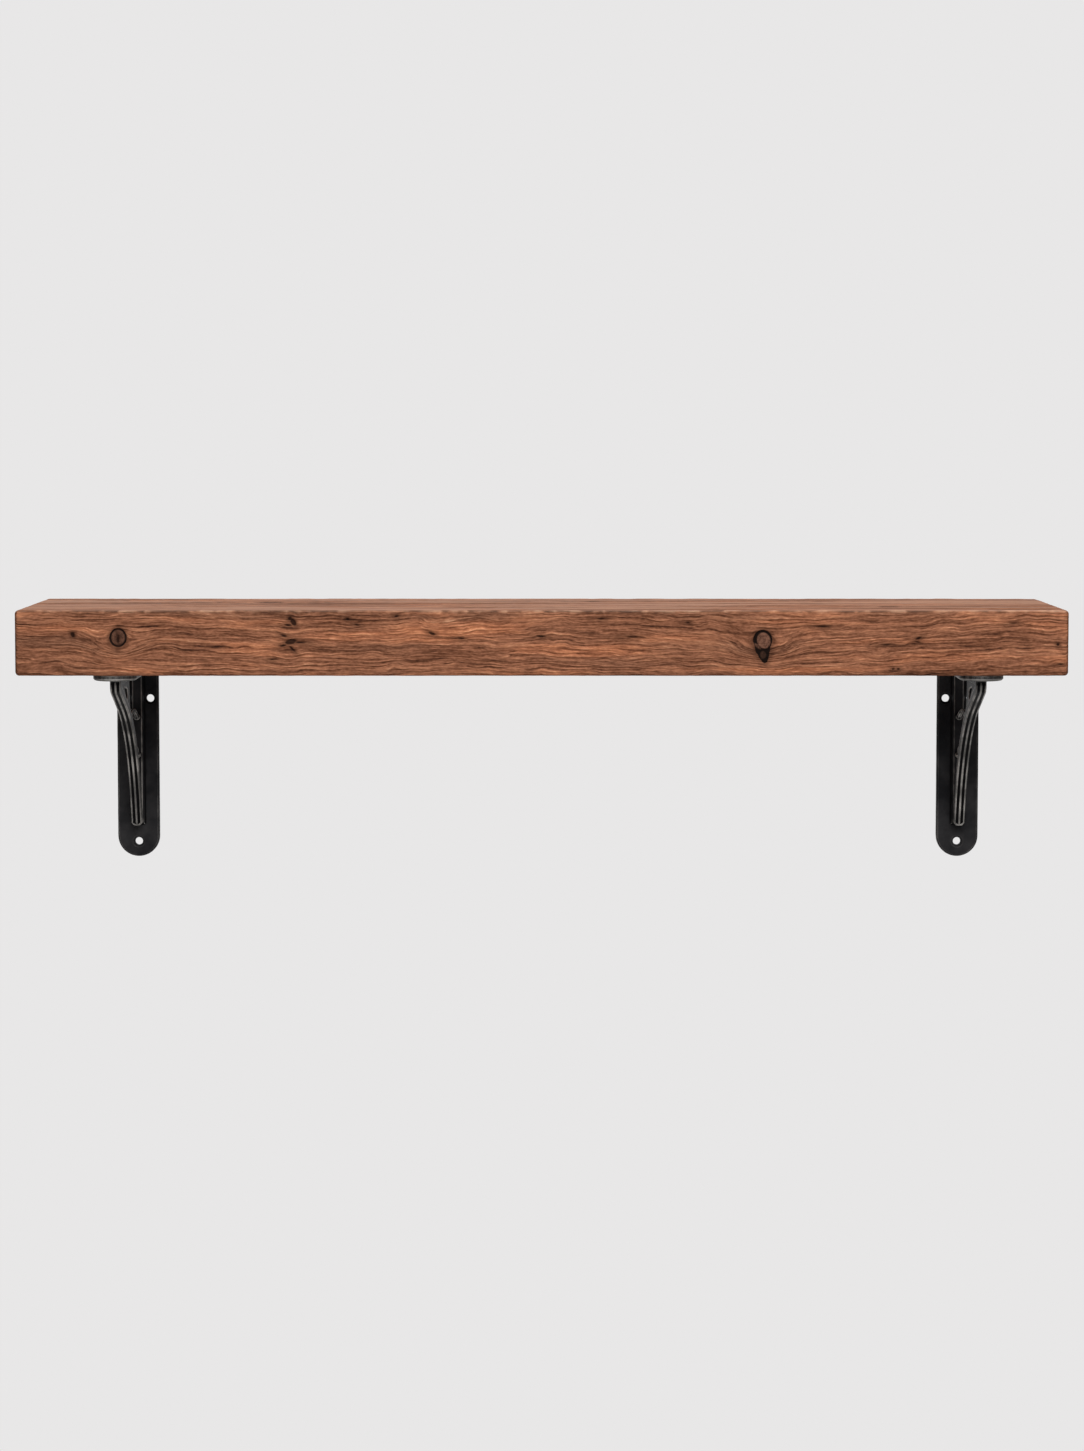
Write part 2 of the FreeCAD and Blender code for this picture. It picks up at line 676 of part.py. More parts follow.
def main():
    doc = FreeCAD.newDocument("bracket_wall_shelf")
    size = fill_sheet(doc)
    left = size["left_inset"] - size["board_length"] / 2
    right = size["board_length"] / 2 - size["right_inset"]
    bodies = [
        add_board(doc, "shelf_board", size, (left, right)),
        add_bracket(doc, "left_bracket", size, left),
        add_bracket(doc, "right_bracket", size, right),
        add_screws(doc, "left_bracket_screws", size, left),
        add_screws(doc, "right_bracket_screws", size, right),
    ]
    check_build(doc, bodies)
    os.makedirs("parts", exist_ok=True)
    for body in bodies:
        body.Shape.exportStep(f"parts/{body.Label}.step")
        print(body.Label, len(body.Shape.Solids), "solids", round(body.Shape.Volume / 1000, 2), "cm3")


main()
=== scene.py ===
"""Bracket wall shelf: a brushed timber board on two black cast brackets, with slotted wood screws.

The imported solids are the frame. Every piece made here stands for one of them and keeps to its place.
Sizes of the board, the castings and the screws are in millimetres, and those of the studio in metres.
"""

import itertools
import json
import logging
import math
from dataclasses import dataclass, field
from enum import Enum
from typing import Any, Sequence

import bmesh
import bpy
import numpy as np
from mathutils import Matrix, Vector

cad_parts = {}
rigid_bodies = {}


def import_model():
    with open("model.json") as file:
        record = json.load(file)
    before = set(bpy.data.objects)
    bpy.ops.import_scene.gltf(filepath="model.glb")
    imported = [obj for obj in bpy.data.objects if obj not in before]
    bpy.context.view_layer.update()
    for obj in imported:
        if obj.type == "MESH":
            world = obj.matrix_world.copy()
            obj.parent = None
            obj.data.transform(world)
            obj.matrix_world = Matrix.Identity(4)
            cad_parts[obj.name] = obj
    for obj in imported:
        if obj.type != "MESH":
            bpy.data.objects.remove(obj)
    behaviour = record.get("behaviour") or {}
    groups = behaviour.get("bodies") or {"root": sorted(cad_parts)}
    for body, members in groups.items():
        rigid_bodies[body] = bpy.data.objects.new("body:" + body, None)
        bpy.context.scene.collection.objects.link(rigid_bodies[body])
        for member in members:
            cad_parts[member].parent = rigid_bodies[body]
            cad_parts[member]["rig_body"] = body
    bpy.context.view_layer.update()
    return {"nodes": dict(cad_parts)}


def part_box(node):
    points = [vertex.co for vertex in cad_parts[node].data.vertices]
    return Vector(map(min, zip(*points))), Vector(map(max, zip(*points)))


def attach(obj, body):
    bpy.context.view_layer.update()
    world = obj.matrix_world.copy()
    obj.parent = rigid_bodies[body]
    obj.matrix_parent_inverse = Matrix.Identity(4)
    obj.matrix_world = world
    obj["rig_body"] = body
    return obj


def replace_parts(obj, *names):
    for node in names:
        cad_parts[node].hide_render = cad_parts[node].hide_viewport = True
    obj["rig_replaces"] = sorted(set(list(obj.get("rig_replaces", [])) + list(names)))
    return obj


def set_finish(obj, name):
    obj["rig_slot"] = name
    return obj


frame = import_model()
MM = 0.001
BODY = "root"
LOG = logging.getLogger("shelf")

Colour = tuple[float, float, float, float]


class Axis(Enum):
    """The axes of the row frame, by their place in a point."""

    X = 0
    Y = 1
    Z = 2


class Slot(Enum):
    """The material slots of the record."""

    TIMBER = "timber"
    IRON = "black_iron"
    STEEL = "screw_steel"


def screen_colour(red: int, green: int, blue: int) -> Colour:
    """Turns a colour as a screen counts it, 0 to 255, into the linear one that shaders take.

    Args:
        red: Red part.
        green: Green part.
        blue: Blue part.

    Returns:
        The linear colour with full alpha.
    """
    parts = [value / 255 for value in (red, green, blue)]
    linear = [part / 12.92 if part <= 0.04045 else ((part + 0.055) / 1.055) ** 2.4 for part in parts]
    return (*linear, 1.0)


def smooth_step(low: float, high: float, values: np.ndarray) -> np.ndarray:
    """Ramps values from 0 at low to 1 at high, with soft ends.

    Args:
        low: Value that gives 0.
        high: Value that gives 1.
        values: What is ramped.

    Returns:
        The ramped values.
    """
    part = np.clip((values - low) / (high - low), 0, 1)
    return part * part * (3 - 2 * part)


def lattice_noise(points: np.ndarray, seed: int) -> np.ndarray:
    """Smooth noise from -1 to 1 that changes over a distance of about 1.

    Args:
        points: Places, one row each.
        seed: Which of the possible patterns to give.

    Returns:
        One value for each place.
    """
    table_size = 4096
    primes = (73856093, 19349663, 83492791)
    table = np.random.default_rng(seed).uniform(-1, 1, table_size)
    cell = np.floor(points).astype(np.int64)
    part = points - cell
    fade = part * part * (3 - 2 * part)
    total = np.zeros(len(points))
    for corner in itertools.product((0, 1), repeat=3):
        key = np.zeros(len(points), np.int64)
        weight = np.ones(len(points))
        for axis, step in enumerate(corner):
            key ^= (cell[:, axis] + step) * primes[axis]
            weight *= fade[:, axis] if step else 1 - fade[:, axis]
        total += weight * table[key % table_size]
    return total


class Shade:
    """A value socket of a material that takes part in Python expressions."""

    def __init__(self, paint: "Paint", socket: bpy.types.NodeSocket) -> None:
        """Keeps the socket and the paint it belongs to."""
        self.paint = paint
        self.socket = socket

    def __add__(self, other: "Shade | float") -> "Shade":
        """Adds."""
        return self.paint.math("ADD", self, other)

    def __sub__(self, other: "Shade | float") -> "Shade":
        """Subtracts."""
        return self.paint.math("SUBTRACT", self, other)

    def __rsub__(self, other: float) -> "Shade":
        """Subtracts this value from a number."""
        return self.paint.math("SUBTRACT", other, self)

    def __mul__(self, other: "Shade | float") -> "Shade":
        """Multiplies."""
        return self.paint.math("MULTIPLY", self, other)

    __radd__ = __add__
    __rmul__ = __mul__

    def fraction(self) -> "Shade":
        """The part after the point."""
        return self.paint.math("FRACT", self)

    def lesser(self, other: "Shade | float") -> "Shade":
        """The lesser of two values."""
        return self.paint.math("MINIMUM", self, other)

    def greater(self, other: "Shade | float") -> "Shade":
        """The greater of two values."""
        return self.paint.math("MAXIMUM", self, other)

    def ramp(self, low: float, high: float) -> "Shade":
        """Ramps the value, with soft ends.

        Args:
            low: Value that gives 0.
            high: Value that gives 1.

        Returns:
            The ramped value.
        """
        settings = {"interpolation_type": "SMOOTHSTEP"}
        inputs = {"Value": self, "From Min": low, "From Max": high}
        made = self.paint.node("ShaderNodeMapRange", settings, inputs)
        return Shade(self.paint, made.outputs["Result"])

    def band(self, start: float, peak: float, end: float) -> "Shade":
        """Ramps up from 0 at the start to 1 at the peak and down to 0 at the end."""
        return self.ramp(start, peak) * (1 - self.ramp(peak, end))


@dataclass(frozen=True)
class Streaks:
    """A drawn-out noise: its pace along each axis, how many finer layers it has and their strength."""

    pace: tuple[float, float, float]
    layers: float = 2.0
    strength: float = 0.5


class Paint:
    """Adds the nodes of one material, or of the world."""

    def __init__(self, name: str) -> None:
        """Starts a material with nothing but its output.

        Args:
            name: The material's name.
        """
        self.material = bpy.data.materials.new(name)
        self.material.use_nodes = True
        self.start(self.material.node_tree, "ShaderNodeOutputMaterial")

    @classmethod
    def of_tree(cls, tree: bpy.types.NodeTree, output: str) -> "Paint":
        """Starts on a tree that belongs to no material.

        Args:
            tree: The tree.
            output: The type of its output node.

        Returns:
            The paint.
        """
        made = cls.__new__(cls)
        made.start(tree, output)
        return made

    def start(self, tree: bpy.types.NodeTree, output: str) -> None:
        """Clears a tree to nothing but its output.

        Args:
            tree: The tree.
            output: The type of its output node.
        """
        self.tree = tree
        self.tree.nodes.clear()
        self.output = self.node(output, {}, {})

    def node(self, kind: str, settings: dict[str, Any], inputs: dict[str | int, Any]) -> bpy.types.Node:
        """Adds a node.

        Args:
            kind: The node's type.
            settings: Its properties, set first. A ramp's stops are pairs of place and colour.
            inputs: Values or links of its sockets, by name or number.

        Returns:
            The node.
        """
        made = self.tree.nodes.new(kind)
        for name, value in settings.items():
            if name == "stops":
                self.set_stops(made.color_ramp, value)
            else:
                setattr(made, name, value)
        for name, value in inputs.items():
            if isinstance(value, Shade):
                self.tree.links.new(value.socket, made.inputs[name])
            else:
                made.inputs[name].default_value = value
        return made

    def set_stops(self, ramp: bpy.types.ColorRamp, stops: Sequence[tuple[float, Colour]]) -> None:
        """Gives a colour ramp its stops, in order.

        Args:
            ramp: The ramp.
            stops: Place and colour of each stop.
        """
        while len(ramp.elements) < len(stops):
            ramp.elements.new(1.0)
        for element, (place, colour) in zip(ramp.elements, stops):
            element.position = place
            element.color = colour

    def math(self, operation: str, first: Shade | float, second: Shade | float | None = None) -> Shade:
        """Adds a Math node.

        Args:
            operation: What it does.
            first: First value.
            second: Second value, where the operation has one.

        Returns:
            Its result.
        """
        inputs = {0: first} if second is None else {0: first, 1: second}
        return Shade(self, self.node("ShaderNodeMath", {"operation": operation}, inputs).outputs[0])

    def attribute(self, name: str, output: str = "Fac") -> Shade:
        """Reads an attribute of the piece's own mesh."""
        return Shade(self, self.node("ShaderNodeAttribute", {"attribute_name": name}, {}).outputs[output])

    def object_place(self) -> Shade:
        """The place on the piece, in the row frame."""
        return Shade(self, self.node("ShaderNodeTexCoord", {}, {}).outputs["Object"])

    def stretched(self, vector: Shade, scale: Sequence[float]) -> Shade:
        """Scales a vector along each axis."""
        made = self.node("ShaderNodeMapping", {"vector_type": "POINT"}, {"Vector": vector, "Scale": scale})
        return Shade(self, made.outputs["Vector"])

    def noise(self, vector: Shade, scale: float, detail: float, roughness: float) -> Shade:
        """Adds a noise.

        Args:
            vector: Where it is read.
            scale: How fine it is.
            detail: How many finer layers it has.
            roughness: How strong those are.

        Returns:
            Its value, from 0 to 1.
        """
        inputs = {"Vector": vector, "Scale": scale, "Detail": detail, "Roughness": roughness}
        return Shade(self, self.node("ShaderNodeTexNoise", {}, inputs).outputs["Fac"])

    def streaks(self, vector: Shade, look: Streaks) -> Shade:
        """Adds a noise that is drawn out along the axes of a vector."""
        return self.noise(self.stretched(vector, look.pace), 1.0, look.layers, look.strength)

    def colours(self, value: Shade, stops: Sequence[tuple[float, Colour]]) -> Shade:
        """Turns a value into a colour by a ramp."""
        made = self.node("ShaderNodeValToRGB", {"stops": stops}, {"Fac": value})
        return Shade(self, made.outputs["Color"])

    def mix(self, share: Shade, first: Shade | Colour, second: Shade | Colour, blend: str = "MIX") -> Shade:
        """Mixes two colours.

        Args:
            share: How much of the second one shows.
            first: Colour below.
            second: Colour above.
            blend: How they meet.

        Returns:
            The mixed colour.
        """
        settings = {"data_type": "RGBA", "blend_type": blend}
        made = self.node("ShaderNodeMix", settings, {0: share, 6: first, 7: second})
        return Shade(self, made.outputs[2])

    def bump(self, height: Shade, strength: float, distance: float) -> Shade:
        """Adds a bump of a height, with its greatest depth in metres."""
        inputs = {"Height": height, "Strength": strength, "Distance": distance}
        return Shade(self, self.node("ShaderNodeBump", {}, inputs).outputs["Normal"])

    def finish(self, inputs: dict[str, Any]) -> bpy.types.Material:
        """Adds the surface shader and ends the material.

        Args:
            inputs: Values or links of the shader's sockets.

        Returns:
            The material.
        """
        made = self.node("ShaderNodeBsdfPrincipled", {}, inputs)
        self.tree.links.new(made.outputs["BSDF"], self.output.inputs["Surface"])
        return self.material


@dataclass(frozen=True)
class TimberFinish:
    """Brown stained softwood, wire brushed, with dark encased knots."""

    fibre: Streaks = Streaks((0.1, 1.5, 0.5), 2.0, 0.55)
    streak: Streaks = Streaks((0.018, 0.75, 0.3))
    patch: Streaks = Streaks((0.006, 0.1, 0.05), 3.0)
    warmth: Streaks = Streaks((0.008, 0.15, 0.08))
    fleck: Streaks = Streaks((0.32, 1.3, 0.5), 1.0)
    lively: Streaks = Streaks((0.012, 0.22, 0.1))
    broad: Streaks = Streaks((0.004, 0.08, 0.045), 3.0, 0.6)
    ring_width: float = 1.75
    ring_wander: float = 1.6
    late_band: tuple[float, float, float] = (0.6, 0.92, 1.0)
    early_band: tuple[float, float, float] = (0.0, 0.12, 0.4)
    mean_tone: float = 0.53
    grey_share: float = 0.8
    orange_share: float = 0.9
    top_shade: float = 0.2
    # Painted sheen on the top face: a little everywhere, more along broad streaks.
    least_top_sheen: float = 0.04
    streaked_top_sheen: float = 0.56
    painted_end_shade: float = 0.5
    most_rubbed_and_highlight: float = 0.85
    chip_shade: float = 0.85
    raggedness: float = 0.6
    knot_halo: float = 4.2
    knot_halo_share: float = 0.55
    mark_halo: float = 3.0
    mark_halo_share: float = 0.5
    mark_shade: float = 0.9
    smudge_scale: float = 300.0
    bump_strength: float = 0.6
    bump_depth: float = 0.9
    mean_roughness: float = 0.86
    sheen: float = 0.03
    groove: Colour = screen_colour(54, 32, 23)
    deep: Colour = screen_colour(104, 65, 46)
    middle: Colour = screen_colour(143, 94, 70)
    light: Colour = screen_colour(176, 119, 88)
    # Pale colour of the rubbed front edge flecks, partly a painted highlight.
    ridge: Colour = screen_colour(216, 160, 124)
    edge: Colour = screen_colour(226, 182, 150)
    grey_tint: Colour = (0.70, 0.74, 0.78, 1.0)
    orange_tint: Colour = (1.12, 1.0, 0.91, 1.0)
    # Colour of the painted sheen on the top face.
    top_sheen: Colour = screen_colour(186, 146, 124)
    bark: Colour = screen_colour(24, 16, 13)
    hollow: Colour = screen_colour(36, 22, 17)
    knot_core: Colour = screen_colour(130, 91, 73)
    knot_ring: Colour = screen_colour(56, 37, 30)

    def material(self) -> bpy.types.Material:
        """Builds the timber's material from the grain that the board carries.

        Returns:
            The material.
        """
        paint = Paint("brushed_timber")
        grain = paint.attribute("grain", "Vector")
        relief = paint.attribute("relief")
        looks = (self.fibre, self.streak, self.patch, self.warmth, self.fleck)
        fibre, streak, patch, warmth, fleck = [paint.streaks(grain, look) for look in looks]
        plateau = fibre.ramp(0.42, 0.58)
        late, early = self.ring_bands(paint, grain, streak)
        # The relief and plateau terms paint shade in the brushed grooves and a highlight on the raised
        # fibres between them.
        tone = self.mean_tone + (relief - 0.5) * 0.2 + (plateau - 0.5) * 0.15 + (streak - 0.5) * 0.5
        tone = tone + (warmth - 0.5) * 0.72 + (fleck - 0.5) * 0.4 + early * 0.1 - late * 0.22
        stops = (
            (0.05, self.groove),
            (0.30, self.deep),
            (0.52, self.middle),
            (0.74, self.light),
            (1.0, self.ridge),
        )
        colour = paint.colours(tone, stops)
        greyed = patch.ramp(0.5, 0.7) * self.grey_share
        colour = paint.mix(greyed, colour, self.grey_tint, "MULTIPLY")
        warmed = warmth.ramp(0.48, 0.68) * self.orange_share
        colour = paint.mix(warmed, colour, self.orange_tint, "MULTIPLY")
        colour = self.weathered(paint, colour, grain, fibre)
        colour = self.knotted(paint, colour, fibre, streak)
        height = plateau * 0.25 + relief * 0.3 + fleck * 0.4 + streak * 0.4 + early * 0.2 - late * 0.35
        return paint.finish({
            "Base Color": colour,
            "Roughness": self.mean_roughness - fibre * 0.16 - late * 0.08,
            "Normal": paint.bump(height, self.bump_strength, self.bump_depth * MM),
            "Specular IOR Level": self.sheen,
        })

    def ring_bands(self, paint: Paint, grain: Shade, streak: Shade) -> tuple[Shade, Shade]:
        """Splits each growth ring into its bands.

        Args:
            paint: The material.
            grain: Place in the grain.
            streak: What the rings wander by.

        Returns:
            Dark late wood and pale early wood, both from 0 to 1.
        """
        lively = paint.streaks(grain, self.lively).ramp(0.36, 0.58)
        parts = paint.node("ShaderNodeSeparateXYZ", {}, {"Vector": grain})
        ring = Shade(paint, parts.outputs["Y"])
        saw = (ring * (1 / self.ring_width) + (streak - 0.5) * self.ring_wander).fraction()
        return saw.band(*self.late_band) * lively, saw.band(*self.early_band) * lively

    def weathered(self, paint: Paint, colour: Shade, grain: Shade, fibre: Shade) -> Shade:
        """Paints a sheen on the top and shade on the ends, and wears and chips the long edges, the rubbing
        partly a painted highlight.

        Args:
            paint: The material.
            colour: The wood's colour.
            grain: Place in the grain.
            fibre: Fine fibres.

        Returns:
            The new colour.
        """
        broad = paint.streaks(grain, self.broad).ramp(0.36, 0.62)
        top = paint.attribute("top")
        colour = paint.mix(top * (1 - broad) * self.top_shade, colour, self.groove)
        # Painted sheen on the top face, stronger along broad streaks.
        colour = paint.mix(top * (self.least_top_sheen + broad * self.streaked_top_sheen), colour, self.top_sheen)
        # Painted shade on the end faces.
        colour = paint.mix(paint.attribute("end") * self.painted_end_shade, colour, self.groove)
        # Pale flecks on the top front edge: partly rubbed stain, partly a painted highlight.
        rubbed_and_highlight = paint.attribute("wear") * (0.1 + fibre * 1.6)
        colour = paint.mix(rubbed_and_highlight.lesser(self.most_rubbed_and_highlight), colour, self.edge)
        return paint.mix(paint.attribute("chip") * self.chip_shade, colour, self.hollow)

    def knotted(self, paint: Paint, colour: Shade, fibre: Shade, streak: Shade) -> Shade:
        """Lays the knots, with their bark and cores, and the bark pockets over the wood.

        Args:
            paint: The material.
            colour: The wood's colour.
            fibre: Fine fibres, which make the outlines ragged.
            streak: Streaks, which bend the knots' rings.

        Returns:
            The new colour.
        """
        ragged = (fibre - 0.5) * self.raggedness
        from_knot = paint.attribute("knot")
        knot = from_knot + ragged
        halo = (1 - knot.ramp(0.0, self.knot_halo)) * self.knot_halo_share
        colour = paint.mix(halo, colour, self.groove)
        colour = paint.mix(1 - knot.ramp(-0.2, 0.25), colour, self.bark)
        rings = (from_knot * 0.9 + streak * 2.0).fraction().ramp(0.2, 0.8)
        smudge = paint.noise(paint.object_place(), self.smudge_scale, 2.0, 0.5).ramp(0.42, 0.62)
        core = paint.mix(rings * 0.25 + smudge * 0.45, self.knot_core, self.knot_ring)
        colour = paint.mix(paint.attribute("core"), colour, core)
        mark = paint.attribute("mark") + ragged
        halo = (1 - mark.ramp(0.0, self.mark_halo)) * self.mark_halo_share
        colour = paint.mix(halo, colour, self.groove)
        return paint.mix((1 - mark.ramp(-0.5, 0.4)) * self.mark_shade, colour, self.hollow)


@dataclass(frozen=True)
class IronFinish:
    """Satin black paint on a sand casting, with painted shade in its hollows, and its ridges lighter from
    rubbed paint and a painted highlight.
    """

    cloud_scale: float = 45.0
    sand_scale: float = 900.0
    most_rubbed_and_highlight: float = 0.85
    mean_roughness: float = 0.4
    bump_strength: float = 0.25
    bump_depth: float = 0.3
    sheen: float = 0.04
    # Painted shade in the casting's hollows.
    hollow_shade_black: Colour = screen_colour(6, 6, 7)
    black: Colour = screen_colour(28, 28, 30)
    grey: Colour = screen_colour(53, 52, 53)
    # Pale colour on the ridges: partly rubbed paint, partly a painted highlight.
    rubbed_and_highlight: Colour = screen_colour(198, 193, 187)

    def material(self) -> bpy.types.Material:
        """Builds the iron's material from its place and from the ridges that the casting carries.

        Returns:
            The material.
        """
        paint = Paint("black_cast_iron")
        place = paint.object_place()
        cloud = paint.noise(place, self.cloud_scale, 3.0, 0.55)
        sand = paint.noise(place, self.sand_scale, 4.0, 0.6)
        ridge = paint.attribute("ridge")
        colour = paint.mix(cloud.ramp(0.3, 0.7), self.black, self.grey)
        # Painted shade in the hollows.
        colour = paint.mix((0 - ridge).ramp(0.05, 0.6), colour, self.hollow_shade_black)
        # Ridges lighter: partly rubbed paint, partly a painted highlight.
        scuffs_and_highlights = ridge.ramp(0.05, 0.7) * (0.3 + cloud.ramp(0.35, 0.65) * 0.85) * (0.6 + sand * 0.5)
        height = sand * 0.7 + cloud * 0.3
        return paint.finish({
            "Base Color": paint.mix(scuffs_and_highlights.lesser(self.most_rubbed_and_highlight), colour, self.rubbed_and_highlight),
            "Roughness": self.mean_roughness + (cloud - 0.5) * 0.2 + (sand - 0.5) * 0.16,
            "Normal": paint.bump(height, self.bump_strength, self.bump_depth * MM),
            "Specular IOR Level": self.sheen,
        })


@dataclass(frozen=True)
class ScrewFinish:
    """Blackened steel with bright scratches."""

    scratch: Streaks = Streaks((400.0, 2600.0, 900.0), 3.0, 0.6)
    cloud_scale: float = 260.0
    least_roughness: float = 0.3
    bump_strength: float = 0.2
    bump_depth: float = 0.08
    black: Colour = screen_colour(58, 57, 58)
    bright: Colour = screen_colour(150, 148, 144)

    def material(self) -> bpy.types.Material:
        """Builds the screws' material.

        Returns:
            The material.
        """
        paint = Paint("blackened_steel")
        place = paint.object_place()
        scratch = paint.streaks(place, self.scratch)
        cloud = paint.noise(place, self.cloud_scale, 2.0, 0.5)
        return paint.finish({
            "Base Color": paint.mix(scratch.ramp(0.52, 0.7) * 0.6, self.black, self.bright),
            "Roughness": self.least_roughness + cloud * 0.25,
            "Normal": paint.bump(scratch, self.bump_strength, self.bump_depth * MM),
            "Metallic": 1.0,
        })


def clear_selection() -> None:
    """Goes to object mode and deselects everything."""
    if bpy.context.mode != "OBJECT":
        bpy.ops.object.mode_set(mode="OBJECT")
    bpy.ops.object.select_all(action="DESELECT")


def select_only(piece: bpy.types.Object) -> None:
    """Goes to object mode and selects one piece.

    Args:
        piece: The only thing to be selected.
    """
    clear_selection()
    piece.select_set(True)
    bpy.context.view_layer.objects.active = piece


def apply_modifier(piece: bpy.types.Object, kind: str, **settings: Any) -> None:
    """Adds a modifier to a piece and applies it.

    Args:
        piece: The piece.
        kind: The modifier's type.
        **settings: Its properties.
    """
    select_only(piece)
    modifier = piece.modifiers.new(kind.lower(), kind)
    for name, value in settings.items():
        setattr(modifier, name, value)
    bpy.ops.object.modifier_apply(modifier=modifier.name)


def read_vectors(mesh: bpy.types.Mesh, what: str) -> np.ndarray:
    """Reads the places or normals of a mesh's corners.

    Args:
        mesh: The mesh.
        what: The name of what is read.

    Returns:
        One row for each corner.
    """
    values = np.empty(len(mesh.vertices) * 3, np.float32)
    mesh.vertices.foreach_get(what, values)
    return values.reshape(-1, 3).astype(float)


def write_places(mesh: bpy.types.Mesh, places: np.ndarray) -> None:
    """Moves the corners of a mesh to new places."""
    mesh.vertices.foreach_set("co", places.astype(np.float32).ravel())
    mesh.update()


def write_attribute(mesh: bpy.types.Mesh, name: str, values: np.ndarray) -> None:
    """Stores one number or one vector a corner for the material to read.

    Args:
        mesh: The mesh.
        name: The attribute's name.
        values: One number or one row of three for each corner.
    """
    is_vector = values.ndim == 2
    layer = mesh.attributes.new(name, "FLOAT_VECTOR" if is_vector else "FLOAT", "POINT")
    layer.data.foreach_set("vector" if is_vector else "value", values.astype(np.float32).ravel())


def dress(piece: bpy.types.Object, material: bpy.types.Material, slot: Slot, *nodes: str) -> None:
    """Gives a piece its material, lets it stand for CAD nodes and reports it.

    Args:
        piece: The finished piece.
        material: What it is made of.
        slot: The record's slot for that.
        *nodes: The CAD nodes that it stands for.
    """
    piece.data.materials.clear()
    piece.data.materials.append(material)
    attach(piece, BODY)
    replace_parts(piece, *nodes)
    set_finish(piece, slot.value)
    triangles = sum(len(face.vertices) - 2 for face in piece.data.polygons)
    LOG.info("%s: %d triangles, stands for %s", piece.name, triangles, ", ".join(nodes))


@dataclass(frozen=True)
class Oval:
    """A turned oval on a face, in millimetres along and across from the middle of the face."""

    along: float
    across: float
    half_length: float
    half_height: float
    turn: float = 0.0

    def distance(self, along: np.ndarray, across: np.ndarray) -> np.ndarray:
        """Signed distance to the outline.

        Args:
            along: Places along the face.
            across: Places across the face.

        Returns:
            Distances, less than 0 inside.
        """
        turn = math.radians(self.turn)
        aside, rise = along - self.along, across - self.across
        u = aside * math.cos(turn) + rise * math.sin(turn)
        v = rise * math.cos(turn) - aside * math.sin(turn)
        least = min(self.half_length, self.half_height)
        return (np.hypot(u / self.half_length, v / self.half_height) - 1) * least


@dataclass(frozen=True)
class Knot:
    """A branch's cut end: ovals of dark bark that flow together, and paler cores with their paleness."""

    bark: tuple[Oval, ...]
    cores: tuple[tuple[Oval, float], ...]
    face: Axis = Axis.Y
    sign: int = -1
    blend: float = 0.7
    taper: float = 0.5
    core_blur: float = 0.4
    core_depth: float = 3.0

    def flat(self, places: np.ndarray, size: np.ndarray) -> tuple[np.ndarray, np.ndarray, np.ndarray]:
        """Places as seen from this knot's face.

        Args:
            places: Places on the board, from its middle.
            size: The board's length, depth and thickness.

        Returns:
            Distances along, across, and below the face.
        """
        other = Axis.Z if self.face is Axis.Y else Axis.Y
        below = size[self.face.value] / 2 - self.sign * places[:, self.face.value]
        return places[:, 0], places[:, other.value], below

    def distance(self, along: np.ndarray, across: np.ndarray, below: np.ndarray) -> np.ndarray:
        """Signed distance to the outside of the bark.

        Args:
            along: Places along the face.
            across: Places across the face.
            below: Distances below the face.

        Returns:
            Distances, less than 0 inside the knot.
        """
        least = 1e-30
        parts = [np.exp(-oval.distance(along, across) / self.blend) for oval in self.bark]
        return -np.log(np.sum(parts, axis=0) + least) * self.blend + below * self.taper

    def paleness(self, along: np.ndarray, across: np.ndarray, below: np.ndarray) -> np.ndarray:
        """How pale the wood inside the bark is, from 0 to 1.

        Args:
            along: Places along the face.
            across: Places across the face.
            below: Distances below the face.

        Returns:
            One value for each place.
        """
        shares = []
        for oval, pale in self.cores:
            outside = smooth_step(-self.core_blur, self.core_blur, oval.distance(along, across))
            shares.append(pale * (1 - outside))
        return np.max(shares, axis=0) * (below < self.core_depth)


def plain_knot(oval: Oval, bark: float, face: Axis, sign: int) -> Knot:
    """A knot with an even ring of bark round one core.

    Args:
        oval: Its outline.
        bark: Width of the ring.
        face: The axis that its face looks along.
        sign: Which of the two faces it is on.

    Returns:
        The knot.
    """
    paleness = 0.66
    core = Oval(oval.along, oval.across, oval.half_length - bark, oval.half_height - bark, oval.turn)
    return Knot((oval,), ((core, paleness),), face, sign)


ROUND_KNOT = plain_knot(Oval(-321.4, 4.2, 6.6, 7.3), 1.5, Axis.Y, -1)
TAILED_KNOT = Knot(
    bark=(
        Oval(167.6, 2.3, 7.2, 7.9),
        Oval(167.6, -4.8, 5.6, 4.6),
        Oval(168.5, -9.4, 3.9, 3.6),
        Oval(169.2, -12.9, 2.1, 2.3),
    ),
    cores=(
        (Oval(168.4, 1.9, 5.0, 6.1, 15), 0.95),
        (Oval(163.8, -2.4, 3.2, 1.2, -38), 0.55),
        (Oval(168.0, -9.0, 2.2, 3.0), 0.2),
    ),
)
FRONT_KNOTS = (ROUND_KNOT, TAILED_KNOT)
OTHER_KNOTS = (
    plain_knot(Oval(-215.0, 24.0, 9.0, 6.5), 1.5, Axis.Z, 1),
    plain_knot(Oval(268.0, -30.0, 6.0, 5.0), 1.2, Axis.Z, 1),
    plain_knot(Oval(40.0, 38.0, 4.0, 3.4), 1.0, Axis.Z, 1),
    plain_knot(Oval(90.0, 12.0, 10.0, 7.0), 1.5, Axis.Z, -1),
    plain_knot(Oval(-150.0, -35.0, 6.0, 5.0), 1.2, Axis.Z, -1),
    plain_knot(Oval(-60.0, 3.0, 8.0, 7.0), 1.5, Axis.Y, 1),
)
